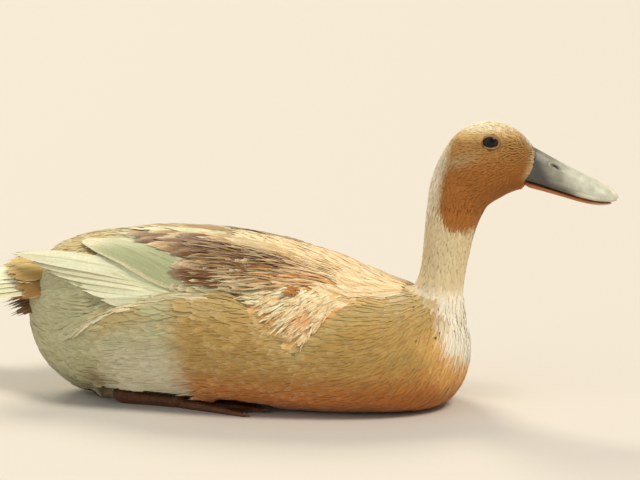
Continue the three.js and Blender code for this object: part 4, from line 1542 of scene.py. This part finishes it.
def lid_material():
    """Bare, fine-wrinkled skin round the eye: soft and matt, with a moist dark inner edge."""
    return mottled_material(
        "eyelid_skin", "#8a6a48", "lid_colour", None, (1.5, 2.0, 0.3, 0.2), {"Roughness": 0.6}
    )


def lid_mesh(name, side, face, settings):
    """The lids of one eye, laid over the eyeball and the face round it."""
    middle = np.array(EYE_MIDDLE) * (1, side, 1)
    dark, lid = np.array(settings.iris) * 1.3, np.array(settings.lid)
    corners, faces, colours = [], [], []
    for k, (scale, proud) in enumerate(LID_RINGS):
        for i in range(LID_CORNERS):
            turn = 2 * math.pi * i / LID_CORNERS
            # the outer rings are narrower over the eye than under it
            out = scale if k < 3 else 1 + (scale - 1) * (1.0 if math.sin(turn) < 0 else 0.85)
            u = EYE_OPENING[0] * out * math.cos(turn)
            v = EYE_OPENING[1] * (1 + (out - 1) * 1.45) * math.sin(turn)
            v -= 0.06 * u * u / EYE_OPENING[0]
            x = middle[0] + u * math.cos(EYE_TILT) - v * math.sin(EYE_TILT)
            z = middle[2] + u * math.sin(EYE_TILT) + v * math.cos(EYE_TILT)
            hit = face.ray_cast(Vector((x, side * OUTSIDE, z)), Vector((0, -side, 0)))[0]
            face_y = abs(hit.y) if hit else HALF_FACE
            gap = ((x - middle[0]) / EYE_RADII.x) ** 2 + ((z - middle[2]) / EYE_RADII.z) ** 2
            ball_y = abs(middle[1]) + EYE_RADII.y * math.sqrt(max(0, 1 - gap))
            # the inner rings lie on the eyeball or the face, and the outer ones sink to the face
            on = max(ball_y, face_y) if k < 4 else max(face_y, ball_y - 0.6 * (k - 3))
            corners.append((x, side * (on + proud), z))
            # a pale edge along the lower lid
            under = 0.6 * ease(math.sin(turn + 0.5), -0.35, -0.8) * (k in (2, 3))
            shown = blend(lid * (0.5, 0.34, 0.2), lid, under)
            colours.append(blend(dark, shown, float(ease(k, 0.6, 2.0))))
    for k in range(len(LID_RINGS) - 1):
        for i in range(LID_CORNERS):
            near, far = k * LID_CORNERS, (k + 1) * LID_CORNERS
            j = (i + 1) % LID_CORNERS
            quad = (near + i, far + i, far + j, near + j)
            faces.append(quad if side > 0 else quad[::-1])
    mesh = bpy.data.meshes.new(name)
    mesh.from_pydata(model(corners).tolist(), [], faces)
    store(mesh, "lid_colour", np.array(colours))
    mesh.shade_smooth()
    return mesh


class DUCK_OT_eyes(Operator):
    """Makes the eyeballs and the lids that hold them"""

    bl_idname = "duck.eyes"
    bl_label = "Eyes and lids"

    def execute(self, context):
        gloss, bare = eye_material(), lid_material()
        points, _, triangles = mesh_arrays(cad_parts["head"].data)
        face = BVHTree.FromPolygons(bird(points).tolist(), triangles.tolist())
        for side, label in SIDES:
            middle = np.array(EYE_MIDDLE) * (1, side, 1)
            ball = bmesh.new()
            bmesh.ops.create_uvsphere(ball, u_segments=40, v_segments=24, radius=1)
            bmesh.ops.rotate(ball, verts=ball.verts, matrix=Matrix.Rotation(math.pi / 2, 3, "X"))
            for vertex in ball.verts:
                vertex.co = model(middle + np.array(vertex.co) * np.array(EYE_RADII))
            mesh = bpy.data.meshes.new("eyeball_" + label)
            ball.to_mesh(mesh)
            ball.free()
            mesh.shade_smooth()
            mesh.materials.append(gloss)
            eyeball = linked("eyeball_" + label, mesh)
            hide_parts("eye_" + label)
            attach(eyeball, "root")
            mesh = lid_mesh("eyelids_" + label, side, face, context.scene.duck_eyes)
            mesh.materials.append(bare)
            lids = linked("eyelids_" + label, mesh)
            thick = lids.modifiers.new("thickness", "SOLIDIFY")
            thick.thickness = 0.5 * MM
            thick.offset = -1
            made_plain(lids)
            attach(lids, "root")
        return {"FINISHED"}


# ---- feet ----

HOCK = (-134, 31)
TOE_JOINT = (-90, 38)
TOES = ((50, 12), (60, -5), (53, -22))  # each toe's length and its heading in degrees
TOE_START = 2
SCUTE_PITCH = 2.6  # mm between the shields along a shank or toe
GRANULES = 0.62  # to a millimetre, on the web and between the shields
STAINS = 0.09  # to a millimetre
# The claw's rings: how far each is ahead of the toe's end, its radius and its height.
CLAW_RINGS = ((0, 1.5, 1.7), (1.5, 1.35, 1.75), (3, 1.0, 1.5), (4.4, 0.55, 0.95), (5.2, 0.1, 0.45))
CLAW_CORNERS = 10


def foot_material():
    """Scaled horny skin, grown in shields and granules: leathery, orange-brown darkened with painted shade
    from the body above.
    """
    settings = bpy.context.scene.duck_feet
    material, add = new_material("scaled_leg_skin", settings.scale)
    place = add("ShaderNodeTexCoord").outputs["Object"]
    granule = add(
        "ShaderNodeTexVoronoi", {"Vector": place, "Scale": GRANULES / MM}, feature="DISTANCE_TO_EDGE"
    )
    # dark in the furrows between granules and shields: painted shade in the creases, mottled by stains
    crease = add("ShaderNodeMapRange", [granule, 0.0, 0.1], interpolation_type="SMOOTHSTEP")
    stain = add("ShaderNodeTexNoise", {"Vector": place, "Scale": STAINS / MM, "Detail": 3.0})
    depth = add("ShaderNodeMath", [crease, stain], operation="MULTIPLY")
    share = add("ShaderNodeMapRange", [depth, 0.05, 0.5])
    tones = {6: (*settings.crease, 1), 7: (*settings.scale, 1)}
    tone = add("ShaderNodeMix", {0: share, **tones}, data_type="RGBA")
    bump = add("ShaderNodeBump", {"Height": crease, "Strength": 0.5, "Distance": 0.3 * MM})
    shader = add("ShaderNodeBsdfPrincipled", {"Base Color": tone, "Roughness": 0.55, "Normal": bump})
    add("ShaderNodeOutputMaterial", {"Surface": shader})
    return material


def claw_material():
    """Solid horn, worn by walking: smooth, dark, with a satin shine."""
    settings = bpy.context.scene.duck_feet
    material, add = new_material("claw_horn", settings.claw)
    shader = add("ShaderNodeBsdfPrincipled", {"Base Color": (*settings.claw, 1), "Roughness": 0.35})
    add("ShaderNodeOutputMaterial", {"Surface": shader})
    return material


def toe_turn(heading, side):
    """A toe's heading in radians, mirrored on the left foot."""
    return math.radians(-heading if side > 0 else heading)


def shields(along):
    """A shield every few millimetres: 1 on its middle, 0 between two."""
    return 0.5 + 0.5 * np.cos(along * 2 * math.pi / SCUTE_PITCH)


def shielded(q, normals, side):
    """The foot's points with a rounded heel and its shields raised."""
    # the heel is round, and sinks into the feathers behind
    heel_end = ease(q[:, 0], HOCK[0] + 5, HOCK[0] - 6)
    q = blend(q, np.array((HOCK[0], side * HOCK[1], 6.5)), 0.5 * heel_end)
    points = model(q)
    from_joint = q[:, :2] - (TOE_JOINT[0], side * TOE_JOINT[1])
    ridge = np.zeros(len(q))
    for _, heading in TOES:
        turn = toe_turn(heading, side)
        along = from_joint @ (math.cos(turn), math.sin(turn))
        aside = from_joint @ (-math.sin(turn), math.cos(turn))
        near = ease(abs(aside), 3.2, 2.2) * ease(along, 2, 6)
        ridge = np.maximum(ridge, near * shields(along))
    shank = np.array(TOE_JOINT) - HOCK
    back = from_joint @ (shank / np.linalg.norm(shank) * (1, side))
    ridge = np.maximum(ridge, ease(back, 0, -3) * shields(back))
    lift = 0.28 * ridge * (normals[:, 2] > -0.3) * ease(q[:, 2], 0.4, 1.5)
    points = points + normals * (lift * MM)[:, None]
    points[:, 2] = np.maximum(points[:, 2], 0)
    return points


def claw_mesh(name, side):
    """The three claws of one foot, each a tapered horn closed at both ends."""
    claws = bmesh.new()
    for long, heading in TOES:
        turn = toe_turn(heading, side)
        ahead = Vector((math.cos(turn), math.sin(turn), 0))
        aside = Vector((-ahead.y, ahead.x, 0))
        start = Vector((TOE_JOINT[0], side * TOE_JOINT[1], 0)) + ahead * (TOE_START + long - 1.2)
        loops = []
        for reach, radius, high in CLAW_RINGS:
            middle = start + ahead * reach + Vector((0, 0, high))
            loop = []
            for i in range(CLAW_CORNERS):
                a = 2 * math.pi * i / CLAW_CORNERS
                corner = middle + aside * radius * 0.8 * math.cos(a)
                corner.z = max(corner.z + radius * math.sin(a), 0.05)
                loop.append(claws.verts.new(model(tuple(corner))))
            loops.append(loop)
        for one, two in zip(loops, loops[1:]):
            for i in range(CLAW_CORNERS):
                j = (i + 1) % CLAW_CORNERS
                claws.faces.new((one[i], one[j], two[j], two[i]))
        claws.faces.new(loops[0][::-1])
        claws.faces.new(loops[-1])
    bmesh.ops.recalc_face_normals(claws, faces=claws.faces)
    mesh = bpy.data.meshes.new(name)
    claws.to_mesh(mesh)
    claws.free()
    mesh.shade_smooth()
    return mesh


class DUCK_OT_feet(Operator):
    """Makes the legs and webbed feet with their shields, and the claws"""

    bl_idname = "duck.feet"
    bl_label = "Feet"

    def execute(self, context):
        scaled, horn = foot_material(), claw_material()
        for side, label in SIDES:
            nodes = ["leg_" + label, "foot_" + label]
            ankle = ((TOE_JOINT[0], side * TOE_JOINT[1], 4.2), 4.6)
            heel = ((HOCK[0], side * HOCK[1], 5.2), 5.6)
            piece = remeshed(
                nodes, "webbed_foot_" + label, context.scene.duck_feet.step, rounds=6, swell=0.3 * MM,
                knuckles=(ankle, heel),
            )
            points, normals, _ = mesh_arrays(piece.data)
            set_points(piece.data, shielded(bird(points), normals, side))
            piece.data.materials.append(scaled)
            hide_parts(*nodes)
            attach(piece, "root")
            mesh = claw_mesh("claws_" + label, side)
            mesh.materials.append(horn)
            nails = linked("claws_" + label, mesh)
            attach(nails, "root")
        return {"FINISHED"}


# ---- stage ----

HALF_FLOOR = 40  # in metres, so that its edge is past the horizon
# The lights: the way each shines from, its softness in degrees, its strength and its colour.
LIGHTS = {
    "key": ((0.58, -0.34, 0.95), 20, 2.1, "#fff4e2"),
    "fill": ((-0.8, -1.0, 0.6), 60, 0.55, "#f2f4ff"),
    "back": ((-0.65, 0.9, 1.0), 25, 2.0, "#fff1da"),
}
AMBIENT = ("#f2f1ee", 0.42)  # the colour and strength of the light from all round
SENSOR = 36  # mm
FAR_END = 200  # how far the camera sees, in metres


class DUCK_OT_stage(Operator):
    """Sets the floor, the soft studio light and the camera"""

    bl_idname = "duck.stage"
    bl_label = "Stage"

    def execute(self, context):
        settings = context.scene.duck_stage
        mesh = bpy.data.meshes.new("floor")
        half = HALF_FLOOR
        corners = [(-half, -half, 0), (half, -half, 0), (half, half, 0), (-half, half, 0)]
        mesh.from_pydata(corners, [], [(0, 1, 2, 3)])
        floor = linked("floor", mesh)
        material, add = new_material("painted_board", settings.floor)
        shader = add("ShaderNodeBsdfPrincipled", {
            "Base Color": (*settings.floor, 1), "Roughness": 0.85, "Specular IOR Level": 0.2,
        })
        add("ShaderNodeOutputMaterial", {"Surface": shader})
        mesh.materials.append(material)
        aim = settings.azimuth
        camera = bpy.data.objects.new("camera", bpy.data.cameras.new("camera"))
        context.scene.collection.objects.link(camera)
        camera.location = (
            BIRD_X + settings.distance * math.sin(aim), -settings.distance * math.cos(aim), settings.height
        )
        camera.rotation_euler = (math.pi / 2 - settings.pitch, 0, aim)
        camera.data.lens = settings.lens
        camera.data.sensor_width = SENSOR
        camera.data.clip_end = FAR_END
        context.scene.camera = camera
        for name, (way, softness, power, tone) in LIGHTS.items():
            lamp = bpy.data.lights.new(name, "SUN")
            lamp.angle = math.radians(softness)
            lamp.energy = power
            lamp.color = linear(tone)
            holder = bpy.data.objects.new(name, lamp)
            context.scene.collection.objects.link(holder)
            holder.rotation_euler = Vector(way).to_track_quat("Z", "Y").to_euler()
        world = bpy.data.worlds.new("studio")
        world.use_nodes = True
        background = world.node_tree.nodes["Background"].inputs
        background["Color"].default_value = (*linear(AMBIENT[0]), 1)
        background["Strength"].default_value = AMBIENT[1]
        context.scene.world = world
        context.scene.view_settings.view_transform = "Standard"
        return {"FINISHED"}


class DUCK_PT_panel(Panel):
    """Lists the steps that build the duck"""

    bl_idname = "DUCK_PT_panel"
    bl_label = "Duck"
    bl_space_type = "VIEW_3D"
    bl_region_type = "UI"
    bl_category = "Duck"

    def draw(self, context):
        for step in STEPS:
            self.layout.operator(step.bl_idname)
        for key, group in GROUPS.items():
            box = self.layout.box()
            for name in group.__annotations__:
                box.prop(getattr(context.scene, key), name)


STEPS = [
    DUCK_OT_stage, DUCK_OT_skin, DUCK_OT_body_coat, DUCK_OT_neck_coat, DUCK_OT_wings, DUCK_OT_mantle,
    DUCK_OT_primaries, DUCK_OT_tail, DUCK_OT_bill, DUCK_OT_eyes, DUCK_OT_feet,
]


def register():
    for kind in [*GROUPS.values(), *STEPS, DUCK_PT_panel]:
        bpy.utils.register_class(kind)
    for key, group in GROUPS.items():
        setattr(bpy.types.Scene, key, PointerProperty(type=group))


def unregister():
    for key in GROUPS:
        delattr(bpy.types.Scene, key)
    for kind in [DUCK_PT_panel, *reversed(STEPS), *GROUPS.values()]:
        bpy.utils.unregister_class(kind)


def main():
    register()
    bpy.ops.duck.stage()
    bpy.ops.duck.skin()
    bpy.ops.duck.body_coat()
    bpy.ops.duck.neck_coat()
    bpy.ops.duck.wings()
    bpy.ops.duck.mantle()
    bpy.ops.duck.primaries()
    bpy.ops.duck.tail()
    bpy.ops.duck.bill()
    bpy.ops.duck.eyes()
    bpy.ops.duck.feet()


if __name__ == "__main__":
    main()
